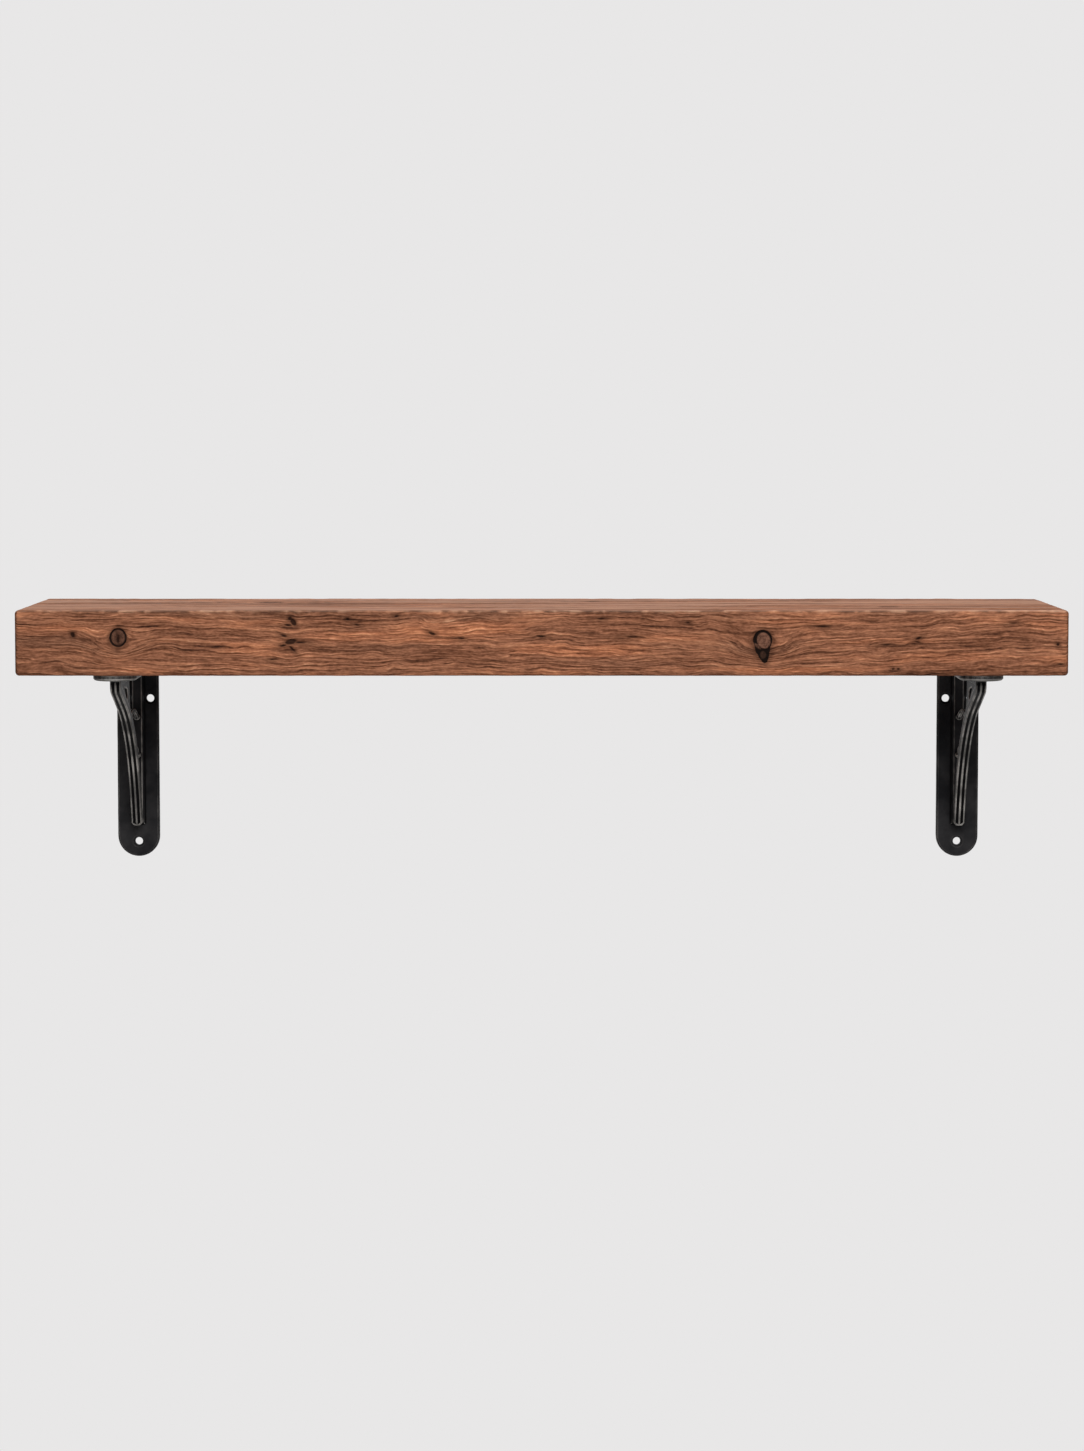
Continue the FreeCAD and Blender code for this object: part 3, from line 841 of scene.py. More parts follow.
# Bark pockets, pin knots and checks in the front face.
FRONT_MARKS = (
    Oval(-321.5, 2.9, 3.2, 0.95, 88),
    Oval(-355.8, 6.2, 1.5, 2.0, 20),
    Oval(-191.0, 18.7, 1.5, 1.2, 40),
    Oval(-188.4, 15.8, 3.2, 1.8, -55),
    Oval(-192.3, 13.6, 2.6, 0.9, -8),
    Oval(-195.6, 5.5, 2.2, 0.8, -15),
    Oval(-190.4, 0.9, 4.6, 2.0, 12),
    Oval(-183.5, 0.5, 4.6, 0.8, 2),
    Oval(-196.2, -1.9, 2.4, 0.8, 15),
    Oval(-189.2, -4.6, 2.8, 0.7, -45),
    Oval(-110.2, 20.4, 1.7, 0.8, 10),
    Oval(-147.3, 18.2, 1.1, 0.9),
    Oval(-140.2, 13.8, 1.9, 0.6, -10),
    Oval(-204.5, -12.5, 2.0, 0.6),
    Oval(-83.3, 7.3, 2.7, 1.0, -22),
    Oval(-61.0, 3.5, 2.2, 0.6, -8),
    Oval(-0.6, 5.1, 2.7, 0.75, -4),
    Oval(44.7, 18.3, 2.0, 0.5),
    Oval(68.0, 4.8, 4.2, 0.6),
    Oval(110.8, 15.3, 1.5, 0.6),
    Oval(213.4, 12.6, 5.0, 0.6, -2),
    Oval(261.4, -1.3, 3.2, 0.45),
    Oval(285.9, 3.8, 2.3, 0.95, 18),
    Oval(285.4, 0.6, 2.4, 0.55, -14),
    Oval(266.8, -19.8, 1.0, 0.7),
    Oval(270.7, -19.8, 1.0, 0.7),
    Oval(357.7, 15.0, 2.6, 0.5, 6),
    Oval(391.6, -1.1, 1.1, 1.0),
    Oval(393.7, -16.1, 2.4, 0.6, 4),
)


@dataclass(frozen=True)
class Wobble:
    """One layer of unevenness: its size along each axis, its height and its seed."""

    size: tuple[float, float, float]
    height: float
    seed: int

    def at(self, places: np.ndarray) -> np.ndarray:
        """The height at each place."""
        return lattice_noise(places / np.array(self.size), self.seed) * self.height


@dataclass
class Board:
    """The timber board: a rounded plank, carved with brushed grain, knots and chipped edges."""

    node: str = "shelf_board"
    edge_radius: float = 3.0
    edge_slack: float = 0.001
    long_edge_radius: float = 1.4
    crisp_from: float = 12.0
    edge_steps: int = 5
    cuts: tuple[tuple[Axis, int], ...] = ((Axis.X, 19), (Axis.X, 15), (Axis.Y, 61), (Axis.Z, 95))
    fine_cuts: int = 3
    fine_margin: float = 2.5
    front_margin: float = 0.1
    hidden_margin: float = 2.0
    hidden_share: float = 0.25
    pith: tuple[float, float] = (65.0, -110.0)
    pith_distance: float = 150.0
    loop_reach: tuple[float, float] = (2.7, 1.6)
    loop_depth: float = 20.0
    loop_length: float = 1.8
    loop_pace: float = 0.8
    groove_depth: float = 0.42
    groove_strength: float = 0.72
    groove_range: tuple[float, float] = (-0.5, 0.5)
    groove_end: tuple[float, float] = (-1.0, 1.0)
    bark_depth: float = 0.9
    bark_edge: tuple[float, float] = (-0.5, 0.3)
    mark_depth: float = 1.0
    mark_edge: tuple[float, float] = (-0.4, 0.5)
    chip_depth: float = 1.1
    most_depth: float = 2.2
    top_depth: float = 0.7
    hidden_depth: float = 0.25
    facing: tuple[float, float] = (0.2, 0.8)
    end_facing: tuple[float, float] = (0.25, 0.8)
    wear_and_highlight_onset: tuple[float, float] = (-0.1, 0.4)
    chip_onset: tuple[float, float] = (0.0, 0.4)
    lower_chip_share: float = 0.4
    wear_and_highlight_reach: float = 0.8
    chip_reach: float = 2.4
    lower_chip_reach: float = 2.2
    stored_reach: float = 9.0
    finish: TimberFinish = field(default_factory=TimberFinish)
    wobbles: tuple[Wobble, ...] = (
        Wobble((190.0, 70.0, 60.0), 3.2, 11),
        Wobble((70.0, 26.0, 18.0), 1.0, 12),
        Wobble((16.0, 9.0, 8.0), 1.1, 13),
        Wobble((8.0, 4.5, 4.0), 0.5, 14),
    )
    brush_pressure: Wobble = Wobble((60.0, 20.0, 15.0), 0.4, 21)
    brush_strokes: tuple[Wobble, ...] = (
        Wobble((45.0, 0.7, 12.0), 0.42, 22),
        Wobble((18.0, 0.6, 8.0), 0.48, 23),
        Wobble((8.0, 0.56, 5.0), 0.36, 24),
    )
    edge_flecks: tuple[Wobble, ...] = (
        Wobble((8.0, 9.0, 9.0), 0.6, 31),
        Wobble((3.4, 4.0, 4.0), 0.6, 32),
    )
    edge_stretches: Wobble = Wobble((55.0, 90.0, 90.0), 0.5, 33)

    def __post_init__(self) -> None:
        """Takes the board's place and size from the frame, in millimetres."""
        low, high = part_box(self.node)
        self.low, self.high = np.array(low) / MM, np.array(high) / MM
        self.middle, self.size = (self.low + self.high) / 2, self.high - self.low

    def build(self) -> bpy.types.Object:
        """Makes and dresses the board.

        Returns:
            The board.
        """
        plank = self.plank()
        self.carve(plank.data)
        self.thin_hidden_faces(plank)
        select_only(plank)
        bpy.ops.object.shade_smooth()
        dress(plank, self.finish.material(), Slot.TIMBER, self.node)
        return plank

    def plank(self) -> bpy.types.Object:
        """Adds the plank, rounds its edges and divides its faces.

        Returns:
            The plank, with no relief yet.
        """
        clear_selection()
        place, size = tuple(self.middle * MM), tuple(self.size * MM)
        bpy.ops.mesh.primitive_cube_add(size=1, location=place, scale=size)
        plank = bpy.context.object
        plank.name = "brushed_board"
        bpy.ops.object.transform_apply(location=True, rotation=False, scale=True)
        bpy.ops.object.mode_set(mode="EDIT")
        bpy.ops.mesh.select_all(action="SELECT")
        bpy.ops.mesh.bevel(offset=self.edge_radius * MM, segments=self.edge_steps, affect="EDGES")
        for axis, number in self.cuts:
            self.select_edges_along(plank.data, axis)
            bpy.ops.mesh.subdivide(number_cuts=number)
        self.select_fine_edges(plank.data)
        bpy.ops.mesh.subdivide(number_cuts=self.fine_cuts)
        bpy.ops.object.mode_set(mode="OBJECT")
        return plank

    def select_edges_along(self, mesh: bpy.types.Mesh, axis: Axis) -> None:
        """Selects the edges of the mesh in edit mode that run along an axis.

        Args:
            mesh: The mesh.
            axis: The axis.
        """
        straight = 0.9999
        bpy.ops.mesh.select_mode(type="EDGE")
        bpy.ops.mesh.select_all(action="DESELECT")
        shape = bmesh.from_edit_mesh(mesh)
        for edge in shape.edges:
            run = (edge.verts[1].co - edge.verts[0].co).normalized()
            edge.select_set(abs(run[axis.value]) > straight)
        bmesh.update_edit_mesh(mesh)

    def select_fine_edges(self, mesh: bpy.types.Mesh) -> None:
        """Selects the edges along the board that lie near the front face's knots and marks.

        Args:
            mesh: The mesh in edit mode.
        """
        self.select_edges_along(mesh, Axis.X)
        shape = bmesh.from_edit_mesh(mesh)
        chosen = [edge for edge in shape.edges if edge.select]
        middles = np.array([(edge.verts[0].co + edge.verts[1].co) / 2 for edge in chosen])
        middles = middles / MM - self.middle
        ovals = [oval for knot in FRONT_KNOTS for oval in knot.bark] + list(FRONT_MARKS)
        near = np.min([oval.distance(middles[:, 0], middles[:, 2]) for oval in ovals], axis=0)
        on_front = middles[:, 1] < self.front_margin - self.size[1] / 2
        wanted = (near < self.fine_margin) & on_front
        for edge, keep in zip(chosen, wanted):
            edge.select_set(bool(keep))
        bmesh.update_edit_mesh(mesh)

    def crisp_edges(self, places: np.ndarray) -> np.ndarray:
        """Tightens the rounding of the long edges, which are only just eased.

        Args:
            places: Places on the board, from its middle.

        Returns:
            The new places.
        """
        half = self.size / 2
        inwards = half - np.abs(places)
        rounded = np.all(inwards[:, 1:] < self.edge_radius - self.edge_slack, axis=1)
        share = smooth_step(self.edge_radius, self.crisp_from, inwards[:, 0])
        scale = 1 + share * (self.long_edge_radius / self.edge_radius - 1)
        inwards[rounded, 1:] *= scale[rounded, None]
        return np.where(places < 0, inwards - half, half - inwards)

    def ring_distance(self, places: np.ndarray) -> np.ndarray:
        """Distance from the pith, with the rings' unevenness and their loops round the knots.

        Args:
            places: Places on the board, from its middle.

        Returns:
            One distance for each place, in millimetres.
        """
        out, up = places[:, 1] - self.pith[0], places[:, 2] - self.pith[1]
        ring = np.hypot(out, up)
        for wobble in self.wobbles:
            ring += wobble.at(places)
        for knot in FRONT_KNOTS + OTHER_KNOTS:
            along, across, below = knot.flat(places, self.size)
            head = knot.bark[0]
            aside, rise = along - head.along, across - head.across
            length, height = head.half_length * self.loop_reach[0], head.half_height * self.loop_reach[1]
            reach = (aside / length) ** 2 + (rise / height) ** 2
            pull = np.exp(-reach - (below / self.loop_depth) ** 2)
            loops = np.hypot(aside / self.loop_length, rise) * self.loop_pace
            middle = ring[np.argmin(reach + below ** 2)]
            ring = ring * (1 - pull) + (middle + loops) * pull
        return ring

    def carve(self, mesh: bpy.types.Mesh) -> None:
        """Sinks the relief into the plank and stores the grain for the material.

        Args:
            mesh: The divided plank.
        """
        places = self.crisp_edges(read_vectors(mesh, "co") / MM - self.middle)
        normals = read_vectors(mesh, "normal")
        ring = self.ring_distance(places)
        angle = np.arctan2(places[:, 2] - self.pith[1], places[:, 1] - self.pith[0])
        grain = np.stack((places[:, 0], ring, angle * self.pith_distance), axis=1)
        relief = self.brushed_relief(grain)
        seen = [(knot, knot.flat(places, self.size)) for knot in FRONT_KNOTS + OTHER_KNOTS]
        knot = np.min([item.distance(*spot) for item, spot in seen], axis=0)
        core = np.max([item.paleness(*spot) for item, spot in seen], axis=0)
        from_front = places[:, 1] + self.size[1] / 2
        mark = np.min([item.distance(places[:, 0], places[:, 2]) for item in FRONT_MARKS], axis=0)
        mark += from_front
        wear, chips = self.edge_wear_and_highlight(places)

        strength = self.groove_strength + self.brush_pressure.at(places)
        depth = (1 - relief) * strength * self.groove_depth * smooth_step(*self.groove_end, knot)
        depth += (1 - smooth_step(*self.bark_edge, knot)) * (1 - core) * self.bark_depth
        depth += (1 - smooth_step(*self.mark_edge, mark)) * self.mark_depth
        depth += chips * self.chip_depth
        is_front = smooth_step(*self.facing, -normals[:, 1])
        is_top = smooth_step(*self.facing, normals[:, 2])
        shown = np.maximum(is_front, is_top * self.top_depth)
        depth *= self.hidden_depth + (1 - self.hidden_depth) * shown
        depth = np.clip(depth, 0, self.most_depth)
        write_places(mesh, (places - normals * depth[:, None] + self.middle) * MM)

        attributes = {
            "grain": grain,
            "relief": relief,
            "knot": np.clip(knot, -self.stored_reach, self.stored_reach),
            "core": core,
            "mark": np.clip(mark, -self.stored_reach, self.stored_reach),
            # Rubbed flecks along the top front edge, partly a painted highlight.
            "wear": wear,
            "chip": chips,
            # top feeds the painted sheen and the darker streaks of the top face.
            "top": is_top,
            # end feeds the painted shade on the end faces.
            "end": smooth_step(*self.end_facing, np.abs(normals[:, 0])),
        }
        for name, values in attributes.items():
            write_attribute(mesh, name, values)

    def brushed_relief(self, grain: np.ndarray) -> np.ndarray:
        """Short ridges and grooves along the grain, as a wire brush leaves them.

        Args:
            grain: Places along the board, out from the pith and round it.

        Returns:
            0 in the grooves to 1 on the ridges.
        """
        total = sum(stroke.at(grain) for stroke in self.brush_strokes)
        return smooth_step(*self.groove_range, total)

    def edge_wear_and_highlight(self, places: np.ndarray) -> tuple[np.ndarray, np.ndarray]:
        """How rubbed and how chipped the board's long front edges are, the rubbing partly a painted
        highlight.

        Args:
            places: Places on the board, from its middle.

        Returns:
            Wear in flecks, partly a painted highlight, and chips, both from 0 to 1.
        """
        half = self.size / 2
        from_edge = np.hypot(half[1] + places[:, 1], half[2] - places[:, 2])
        from_lower = np.hypot(half[1] + places[:, 1], half[2] + places[:, 2])
        uneven = sum(fleck.at(places) for fleck in self.edge_flecks)
        stretch = 0.5 + self.edge_stretches.at(places)
        flecks = 0.15 + 0.8 * smooth_step(*self.wear_and_highlight_onset, uneven)
        wear = np.exp(-(from_edge / self.wear_and_highlight_reach) ** 2) * flecks * (0.4 + stretch)
        chips = smooth_step(*self.chip_onset, -uneven) * (0.35 + 0.65 * stretch)
        upper = np.exp(-(from_edge / self.chip_reach) ** 2)
        lower = np.exp(-(from_lower / self.lower_chip_reach) ** 2)
        chips *= upper + self.lower_chip_share * lower
        return wear, np.clip(chips, 0, 1)

    def thin_hidden_faces(self, plank: bpy.types.Object) -> None:
        """Joins small faces on the back and the underside, where no fine relief shows.

        Args:
            plank: The carved plank.
        """
        select_only(plank)
        bpy.ops.object.mode_set(mode="EDIT")
        bpy.ops.mesh.select_mode(type="FACE")
        bpy.ops.mesh.select_all(action="DESELECT")
        shape = bmesh.from_edit_mesh(plank.data)
        inset = self.edge_radius * 2 * MM
        margin = self.hidden_margin * MM
        low, high = self.low * MM, self.high * MM
        for face in shape.faces:
            spot = face.calc_center_median()
            behind = spot.y > high[1] - margin and low[2] + inset < spot.z < high[2] - inset
            under = spot.z < low[2] + margin and low[1] + inset < spot.y < high[1] - inset
            inside = low[0] + inset < spot.x < high[0] - inset
            face.select_set((behind or under) and inside)
        bmesh.update_edit_mesh(plank.data)
        bpy.ops.mesh.decimate(ratio=self.hidden_share)
        bpy.ops.object.mode_set(mode="OBJECT")
        write_places(plank.data, np.clip(read_vectors(plank.data, "co"), low, high))


@dataclass
class Casting:
    """One cast bracket: the CAD solid with its edges softened, as sand casting and paint leave them."""

    node: str
    finish_material: bpy.types.Material
    merge_distance: float = 0.002
    grain_of_mesh: float = 0.4
    kept_share: float = 0.33
    softening: int = 1
    softening_share: float = 0.5
    unevenness: float = 0.14
    swells: tuple[Wobble, ...] = (
        Wobble((6.5, 6.5, 6.5), 0.6, 41),
        Wobble((2.2, 2.2, 2.2), 0.4, 42),
    )
    ridge_passes: int = 15
    ridge_height: float = 0.25
    # Share of rubbed paint and painted highlight kept on ridges near the wall.
    kept_from_wear_and_highlight: float = 0.3
    wear_and_highlight_reach: tuple[float, float] = (8.0, 15.0)
    foot_width: float = 8.6
    foot_drop: float = 132.5
    foot_radius: float = 3.2
    foot_slack: float = 0.3
    plate_front: float = 5.0

    def build(self) -> bpy.types.Object:
        """Makes and dresses the casting from its own CAD node.

        Returns:
            The casting.
        """
        casting = self.copy_of_node()
        apply_modifier(casting, "REMESH", mode="VOXEL", voxel_size=self.grain_of_mesh * MM)
        apply_modifier(casting, "SMOOTH", factor=self.softening_share, iterations=self.softening)
        apply_modifier(casting, "DECIMATE", ratio=self.kept_share)
        self.round_foot(casting.data)
        self.roughen(casting.data)
        self.mark_ridges(casting.data)
        select_only(casting)
        bpy.ops.object.shade_smooth()
        dress(casting, self.finish_material, Slot.IRON, self.node)
        return casting

    def copy_to(self, built: bpy.types.Object, node: str) -> bpy.types.Object:
        """Copies a finished casting to the place of another CAD node.

        Args:
            built: The finished casting.
            node: The other node.

        Returns:
            The copy, with its own mesh.
        """
        select_only(built)
        bpy.ops.object.duplicate()
        twin = bpy.context.object
        twin.name = f"{node}_casting"
        twin.parent = None
        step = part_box(node)[0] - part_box(self.node)[0]
        bpy.ops.transform.translate(value=step)
        bpy.ops.object.transform_apply(location=True, rotation=False, scale=False)
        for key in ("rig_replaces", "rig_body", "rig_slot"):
            if key in twin:
                del twin[key]
        dress(twin, self.finish_material, Slot.IRON, node)
        return twin

    def copy_of_node(self) -> bpy.types.Object:
        """Copies the CAD node's mesh and merges its loose triangles into one skin.

        Returns:
            The copy.
        """
        mesh = frame["nodes"][self.node].data.copy()
        casting = bpy.data.objects.new(f"{self.node}_casting", mesh)
        bpy.context.scene.collection.objects.link(casting)
        select_only(casting)
        bpy.ops.object.mode_set(mode="EDIT")
        bpy.ops.mesh.select_all(action="SELECT")
        bpy.ops.mesh.remove_doubles(threshold=self.merge_distance * MM)
        bpy.ops.object.mode_set(mode="OBJECT")
        return casting

    def round_foot(self, mesh: bpy.types.Mesh) -> None:
        """Rounds the two lower corners of the brace's foot, which stands out from the wall plate.

        Args:
            mesh: The softened casting.
        """
        low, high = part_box(self.node)
        places = read_vectors(mesh, "co") / MM
        aside = places[:, 0] - (low.x + high.x) / 2 / MM
        corner = np.stack((
            np.abs(aside) - (self.foot_width / 2 - self.foot_radius),
            high.z / MM - self.foot_drop + self.foot_radius - places[:, 2],
        ), axis=1)
        in_corner = np.all((corner > 0) & (corner < self.foot_radius + self.foot_slack), axis=1)
        in_corner &= places[:, 1] < -self.plate_front
        far = corner[in_corner]
        moved = far * (far.max(axis=1) / np.hypot(far[:, 0], far[:, 1]))[:, None]
        places[in_corner, 0] -= np.sign(aside[in_corner]) * (far[:, 0] - moved[:, 0])
        places[in_corner, 2] += far[:, 1] - moved[:, 1]
        write_places(mesh, places * MM)

    def roughen(self, mesh: bpy.types.Mesh) -> None:
        """Sinks the shallow unevenness of a sand casting into the skin.

        Args:
            mesh: The softened casting.
        """
        places = read_vectors(mesh, "co") / MM
        normals = read_vectors(mesh, "normal")
        swell = sum(layer.at(places) for layer in self.swells)
        depth = (swell + 1) * 0.5 * self.unevenness
        sunk = (places - normals * depth[:, None]) * MM
        write_places(mesh, np.clip(sunk, *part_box(self.node)))

    def mark_ridges(self, mesh: bpy.types.Mesh) -> None:
        """Stores how far each corner stands out from its surroundings, where paint wears first, a highlight
        is painted on ridges and shade in hollows.

        Args:
            mesh: The finished casting.
        """
        places = read_vectors(mesh, "co") / MM
        normals = read_vectors(mesh, "normal")
        ends = np.empty(len(mesh.edges) * 2, np.int32)
        mesh.edges.foreach_get("vertices", ends)
        first, last = ends.reshape(-1, 2).T
        near, far = np.concatenate((first, last)), np.concatenate((last, first))
        count = np.maximum(np.bincount(near, minlength=len(places)), 1)
        smooth = places.copy()
        for _ in range(self.ridge_passes):
            sums = [np.bincount(near, smooth[far, axis.value], len(places)) for axis in Axis]
            smooth = 0.5 * (smooth + np.stack(sums, axis=1) / count[:, None])
        stand = np.einsum("ij,ij->i", places - smooth, normals)
        reached = smooth_step(*self.wear_and_highlight_reach, -places[:, 1])
        # Ridges near the wall get less rubbed paint and less painted highlight.
        wear_and_highlight_share = self.kept_from_wear_and_highlight + (1 - self.kept_from_wear_and_highlight) * reached
        stand *= np.where(stand > 0, wear_and_highlight_share, 1)
        write_attribute(mesh, "ridge", np.clip(stand / self.ridge_height, -1, 1))


@dataclass
class ScrewSet:
    """The slotted wood screws of one bracket, their heads sunk into the arm from below."""

    node: str
    finish_material: bpy.types.Material
    pair_offset: float = 10.0
    rear_reach: float = 31.0
    front_reach: float = 139.5
    head_radius: float = 4.6
    rim: float = 0.3
    shank_radius: float = 2.45
    root_share: float = 0.76
    pitch: float = 1.8
    threads: int = 11
    tip_length: float = 5.0
    tip_share: float = 0.12
    sides: int = 28
    crease: float = 35.0
    slot_width: float = 1.3
    slot_depth: float = 1.1
    slot_turns: tuple[float, ...] = (25.0, -40.0, 70.0)

    def build(self) -> bpy.types.Object:
        """Makes and dresses the set.

        Returns:
            The screws, joined.
        """
        low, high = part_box(self.node)
        middle = (low.x + high.x) / 2 / MM
        spots = [
            (middle - self.pair_offset, -self.rear_reach),
            (middle + self.pair_offset, -self.rear_reach),
            (middle, -self.front_reach),
        ]
        bottom, top = low.z / MM, high.z / MM
        made = [self.screw(*spot, bottom, top, turn) for spot, turn in zip(spots, self.slot_turns)]
        select_only(made[0])
        for other in made[1:]:
            other.select_set(True)
        bpy.ops.object.join()
        group = bpy.context.object
        group.name = f"{self.node}_slotted"
        bpy.ops.object.shade_smooth_by_angle(angle=math.radians(self.crease))
        dress(group, self.finish_material, Slot.STEEL, self.node)
        return group

    def screw(self, across: float, out: float, bottom: float, top: float, turn: float) -> bpy.types.Object:
        """Makes one screw, head down.

        Args:
            across: Place along the board, in millimetres.
            out: Place out from the wall.
            bottom: Height of the head's face.
            top: Height of the tip.
            turn: Way the slot points, in degrees.

        Returns:
            The screw.
        """
        clear_selection()
        place = (across * MM, out * MM, bottom * MM)
        bpy.ops.mesh.primitive_circle_add(
            vertices=self.sides,
            radius=self.head_radius * MM,
            fill_type="NGON",
            location=place,
        )
        screw = bpy.context.object
        bpy.ops.object.transform_apply(location=True, rotation=False, scale=False)
        bpy.ops.object.mode_set(mode="EDIT")
        bpy.ops.mesh.select_all(action="SELECT")
        height = self.rise(bottom, self.rim, 1.0)
        taper = self.head_radius - self.shank_radius - self.rim
        height = self.rise(height, taper, self.shank_radius / self.head_radius)
        smooth = top - height - self.threads * self.pitch - self.tip_length
        height = self.rise(height, smooth, 1.0)
        for _ in range(self.threads):
            for share in (self.root_share, 1 / self.root_share):
                height = self.rise(height, self.pitch / 2, share)
        self.rise(height, top - height, self.tip_share)
        bpy.ops.mesh.select_all(action="SELECT")
        bpy.ops.mesh.normals_make_consistent(inside=False)
        bpy.ops.object.mode_set(mode="OBJECT")
        self.cut_slot(screw, place, turn)
        return screw

    def rise(self, height: float, step: float, share: float) -> float:
        """Extrudes the selected face upwards and widens or narrows it.

        Args:
            height: Where it is now.
            step: How far it rises.
            share: Its new width, as a share of the old one.

        Returns:
            The new height.
        """
        bpy.ops.mesh.extrude_region_move(TRANSFORM_OT_translate={"value": (0, 0, step * MM)})
        bpy.ops.transform.resize(value=(share, share, 1))
        return height + step

    def cut_slot(self, screw: bpy.types.Object, place: tuple[float, float, float], turn: float) -> None:
        """Cuts the driver's slot across the head.

        Args:
            screw: The screw.
            place: The middle of its head's face.
            turn: Way the slot points, in degrees.
        """
        clear_selection()
        size = (self.head_radius * 3 * MM, self.slot_width * MM, self.slot_depth * 2 * MM)
        turned = (0, 0, math.radians(turn))
        bpy.ops.mesh.primitive_cube_add(size=1, location=place, rotation=turned, scale=size)
        cutter = bpy.context.object
        apply_modifier(screw, "BOOLEAN", operation="DIFFERENCE", object=cutter, solver="EXACT")
        bpy.data.objects.remove(cutter)


@dataclass(frozen=True)
class Lamp:
    """A soft rectangular lamp: its place, its turn in degrees from straight down, its size and its watts."""

    name: str
    place: tuple[float, float, float]
    turn: tuple[float, float, float]
    size: tuple[float, float]
    power: float

    def build(self) -> None:
        """Adds the lamp to the scene."""
        data = bpy.data.lights.new(self.name, "AREA")
        data.shape = "RECTANGLE"
        data.size, data.size_y = self.size
        data.energy = self.power
        lamp = bpy.data.objects.new(self.name, data)
        lamp.location = self.place
        lamp.rotation_euler = [math.radians(angle) for angle in self.turn]
        bpy.context.scene.collection.objects.link(lamp)


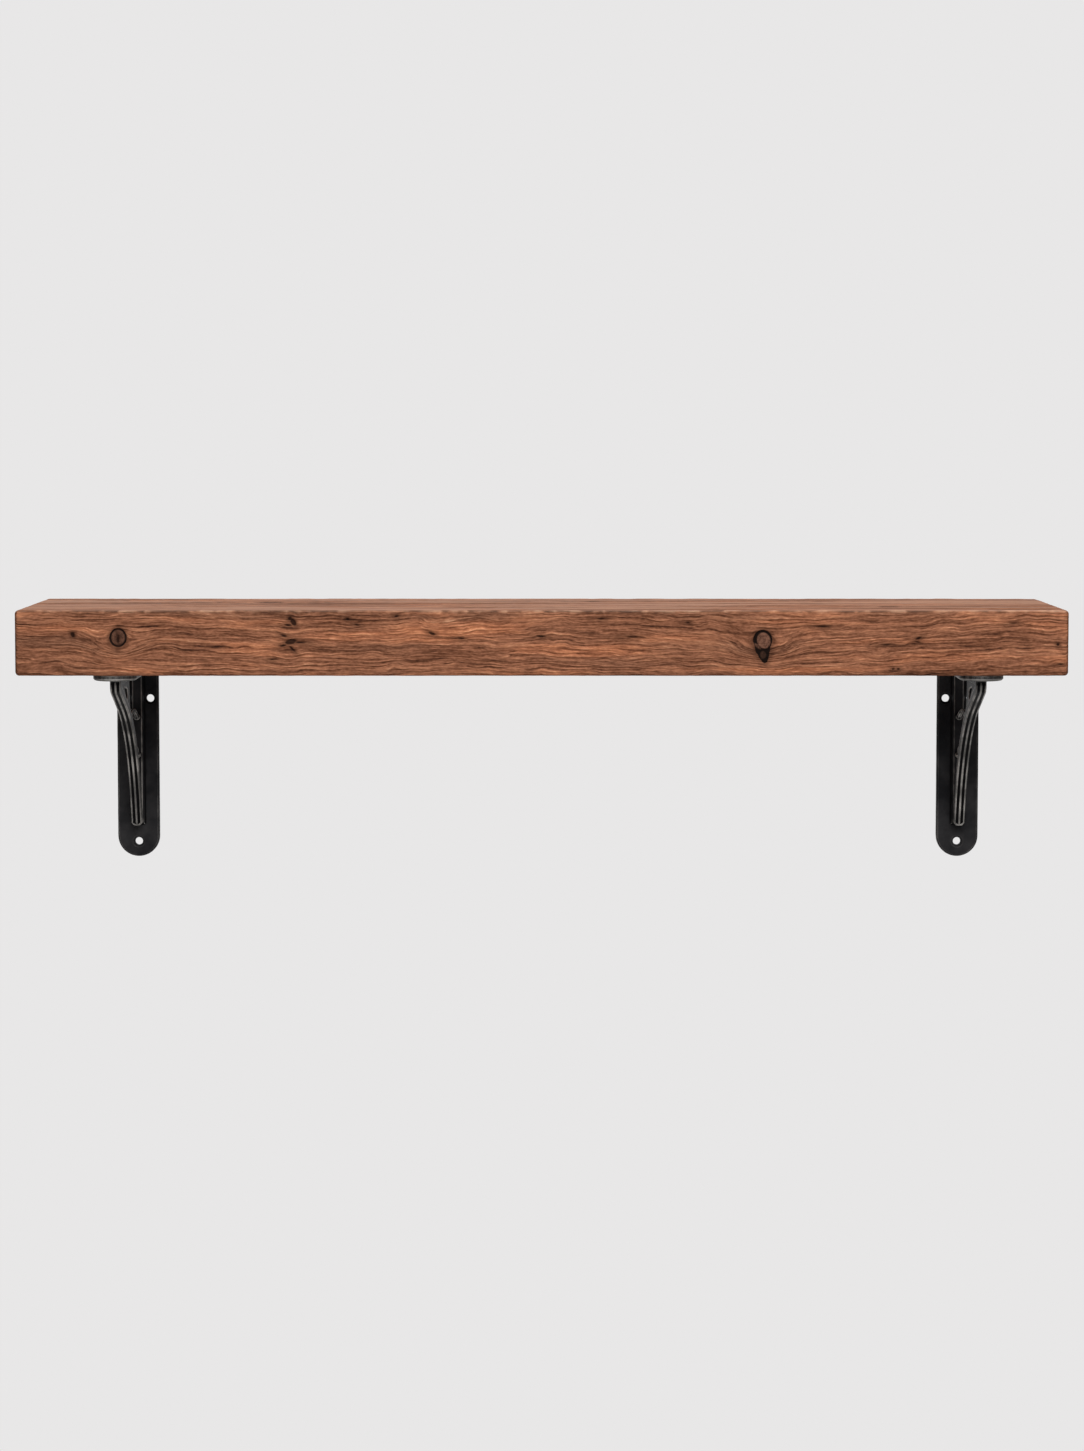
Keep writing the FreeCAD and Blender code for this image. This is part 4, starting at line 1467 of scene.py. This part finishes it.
@dataclass
class Studio:
    """A pale studio: floor far below the shelf, soft lamps and the camera at the photograph's place."""

    floor_height: float = -1.2
    floor_width: float = 14.0
    shadow_place: tuple[float, float, float] = (0.0, 0.45, 0.0)
    shadow_share: tuple[float, float, float] = (1.0, 1.7, 0.0)
    shadow_fade: tuple[float, float] = (0.55, 1.3)
    background: Colour = screen_colour(232, 231, 231)
    floor_colour: Colour = screen_colour(226, 225, 225)
    floor_glow: float = 0.28
    fill_strength: float = 0.1
    camera_place: tuple[float, float, float] = (0.0002, -2.4334, 0.1711)
    camera_tilt: float = 3.5
    camera_shift: float = -0.08523
    lens: float = 74.9
    sensor: float = 36.0
    lamps: tuple[Lamp, ...] = (
        Lamp("overhead_lamp", (0.0, -0.75, 1.75), (22.0, 0.0, 0.0), (1.5, 0.9), 19.0),
        Lamp("front_lamp", (0.4, -2.6, 1.6), (58.0, 0.0, 9.0), (1.8, 1.6), 70.0),
        Lamp("back_lamp", (-0.3, 2.4, 1.5), (-58.0, 0.0, -7.0), (1.6, 1.2), 20.0),
    )

    def build(self) -> None:
        """Makes the floor, the surroundings, the lamps and the camera."""
        self.add_floor()
        self.light_world()
        for lamp in self.lamps:
            lamp.build()
        self.add_camera()

    def add_floor(self) -> None:
        """Adds the floor: it takes the shadow under the shelf and fades into the background around it."""
        clear_selection()
        bpy.ops.mesh.primitive_plane_add(size=self.floor_width, location=(0, 0, 0))
        floor = bpy.context.object
        floor.name = "floor"
        bpy.ops.object.mode_set(mode="EDIT")
        bpy.ops.mesh.select_all(action="SELECT")
        bpy.ops.transform.translate(value=(0, 0, self.floor_height))
        bpy.ops.object.mode_set(mode="OBJECT")
        paint = Paint("pale_floor")
        away = self.away_from_shadow(paint)
        bare = paint.node("ShaderNodeBsdfDiffuse", {}, {"Color": self.floor_colour})
        lit = Shade(paint, bare.outputs["BSDF"])
        near = paint.node("ShaderNodeAddShader", {}, {0: lit, 1: self.glow(paint, self.floor_glow)})
        seen = self.mix_shaders(paint, away, Shade(paint, near.outputs["Shader"]), self.glow(paint, 1.0))
        both = self.mix_shaders(paint, self.seen_rays(paint), lit, seen)
        paint.tree.links.new(both.socket, paint.output.inputs["Surface"])
        floor.data.materials.append(paint.material)

    def away_from_shadow(self, paint: Paint) -> Shade:
        """Tells the floor round the shelf's shadow from the rest.

        Args:
            paint: The floor's material.

        Returns:
            0 round the shadow and 1 further away.
        """
        ends = {0: paint.object_place(), 1: self.shadow_place}
        place = paint.node("ShaderNodeVectorMath", {"operation": "SUBTRACT"}, ends)
        spread = paint.stretched(Shade(paint, place.outputs["Vector"]), self.shadow_share)
        length = paint.node("ShaderNodeVectorMath", {"operation": "LENGTH"}, {0: spread})
        return Shade(paint, length.outputs["Value"]).ramp(*self.shadow_fade)

    def glow(self, paint: Paint, strength: float) -> Shade:
        """Light of the background's colour."""
        made = paint.node("ShaderNodeEmission", {}, {"Color": self.background, "Strength": strength})
        return Shade(paint, made.outputs["Emission"])

    def mix_shaders(self, paint: Paint, share: Shade, first: Shade, second: Shade) -> Shade:
        """Mixes two shaders by the share of the second one."""
        made = paint.node("ShaderNodeMixShader", {}, {0: share, 1: first, 2: second})
        return Shade(paint, made.outputs["Shader"])

    def seen_rays(self, paint: Paint) -> Shade:
        """Tells what the camera sees, straight or in a reflection, from light on the object.

        Args:
            paint: The floor's material, or the world.

        Returns:
            1 for what is seen and 0 for light on the object.
        """
        path = paint.node("ShaderNodeLightPath", {}, {})
        kinds = ("Is Camera Ray", "Is Glossy Ray", "Is Transmission Ray")
        camera, glossy, through = [Shade(paint, path.outputs[kind]) for kind in kinds]
        return camera.greater(glossy).greater(through)

    def light_world(self) -> None:
        """Fills the surroundings with even light, seen as the pale background."""
        world = bpy.data.worlds.new("studio")
        bpy.context.scene.world = world
        world.use_nodes = True
        paint = Paint.of_tree(world.node_tree, "ShaderNodeOutputWorld")
        white = (1.0, 1.0, 1.0, 1.0)
        seen = paint.node("ShaderNodeBackground", {}, {"Color": self.background, "Strength": 1.0})
        fill = paint.node("ShaderNodeBackground", {}, {"Color": white, "Strength": self.fill_strength})
        surroundings = [Shade(paint, made.outputs["Background"]) for made in (fill, seen)]
        both = self.mix_shaders(paint, self.seen_rays(paint), *surroundings)
        paint.tree.links.new(both.socket, paint.output.inputs["Surface"])

    def add_camera(self) -> None:
        """Adds the camera, tilted a little down, with the frame shifted down to the shelf."""
        data = bpy.data.cameras.new("camera")
        data.lens = self.lens
        data.sensor_width = self.sensor
        data.shift_y = self.camera_shift
        camera = bpy.data.objects.new("camera", data)
        camera.location = self.camera_place
        camera.rotation_euler = (math.radians(90 - self.camera_tilt), 0, 0)
        bpy.context.scene.collection.objects.link(camera)
        bpy.context.scene.camera = camera


def main() -> None:
    """Builds the shelf, then the studio, and reports each piece."""
    logging.basicConfig(level=logging.INFO, format="%(name)s: %(message)s")
    Board().build()
    iron = IronFinish().material()
    left = Casting("left_bracket", iron)
    left.copy_to(left.build(), "right_bracket")
    steel = ScrewFinish().material()
    for node in ("left_bracket_screws", "right_bracket_screws"):
        ScrewSet(node, steel).build()
    Studio().build()
    bpy.context.scene.view_settings.view_transform = "Standard"


if __name__ == "__main__":
    main()
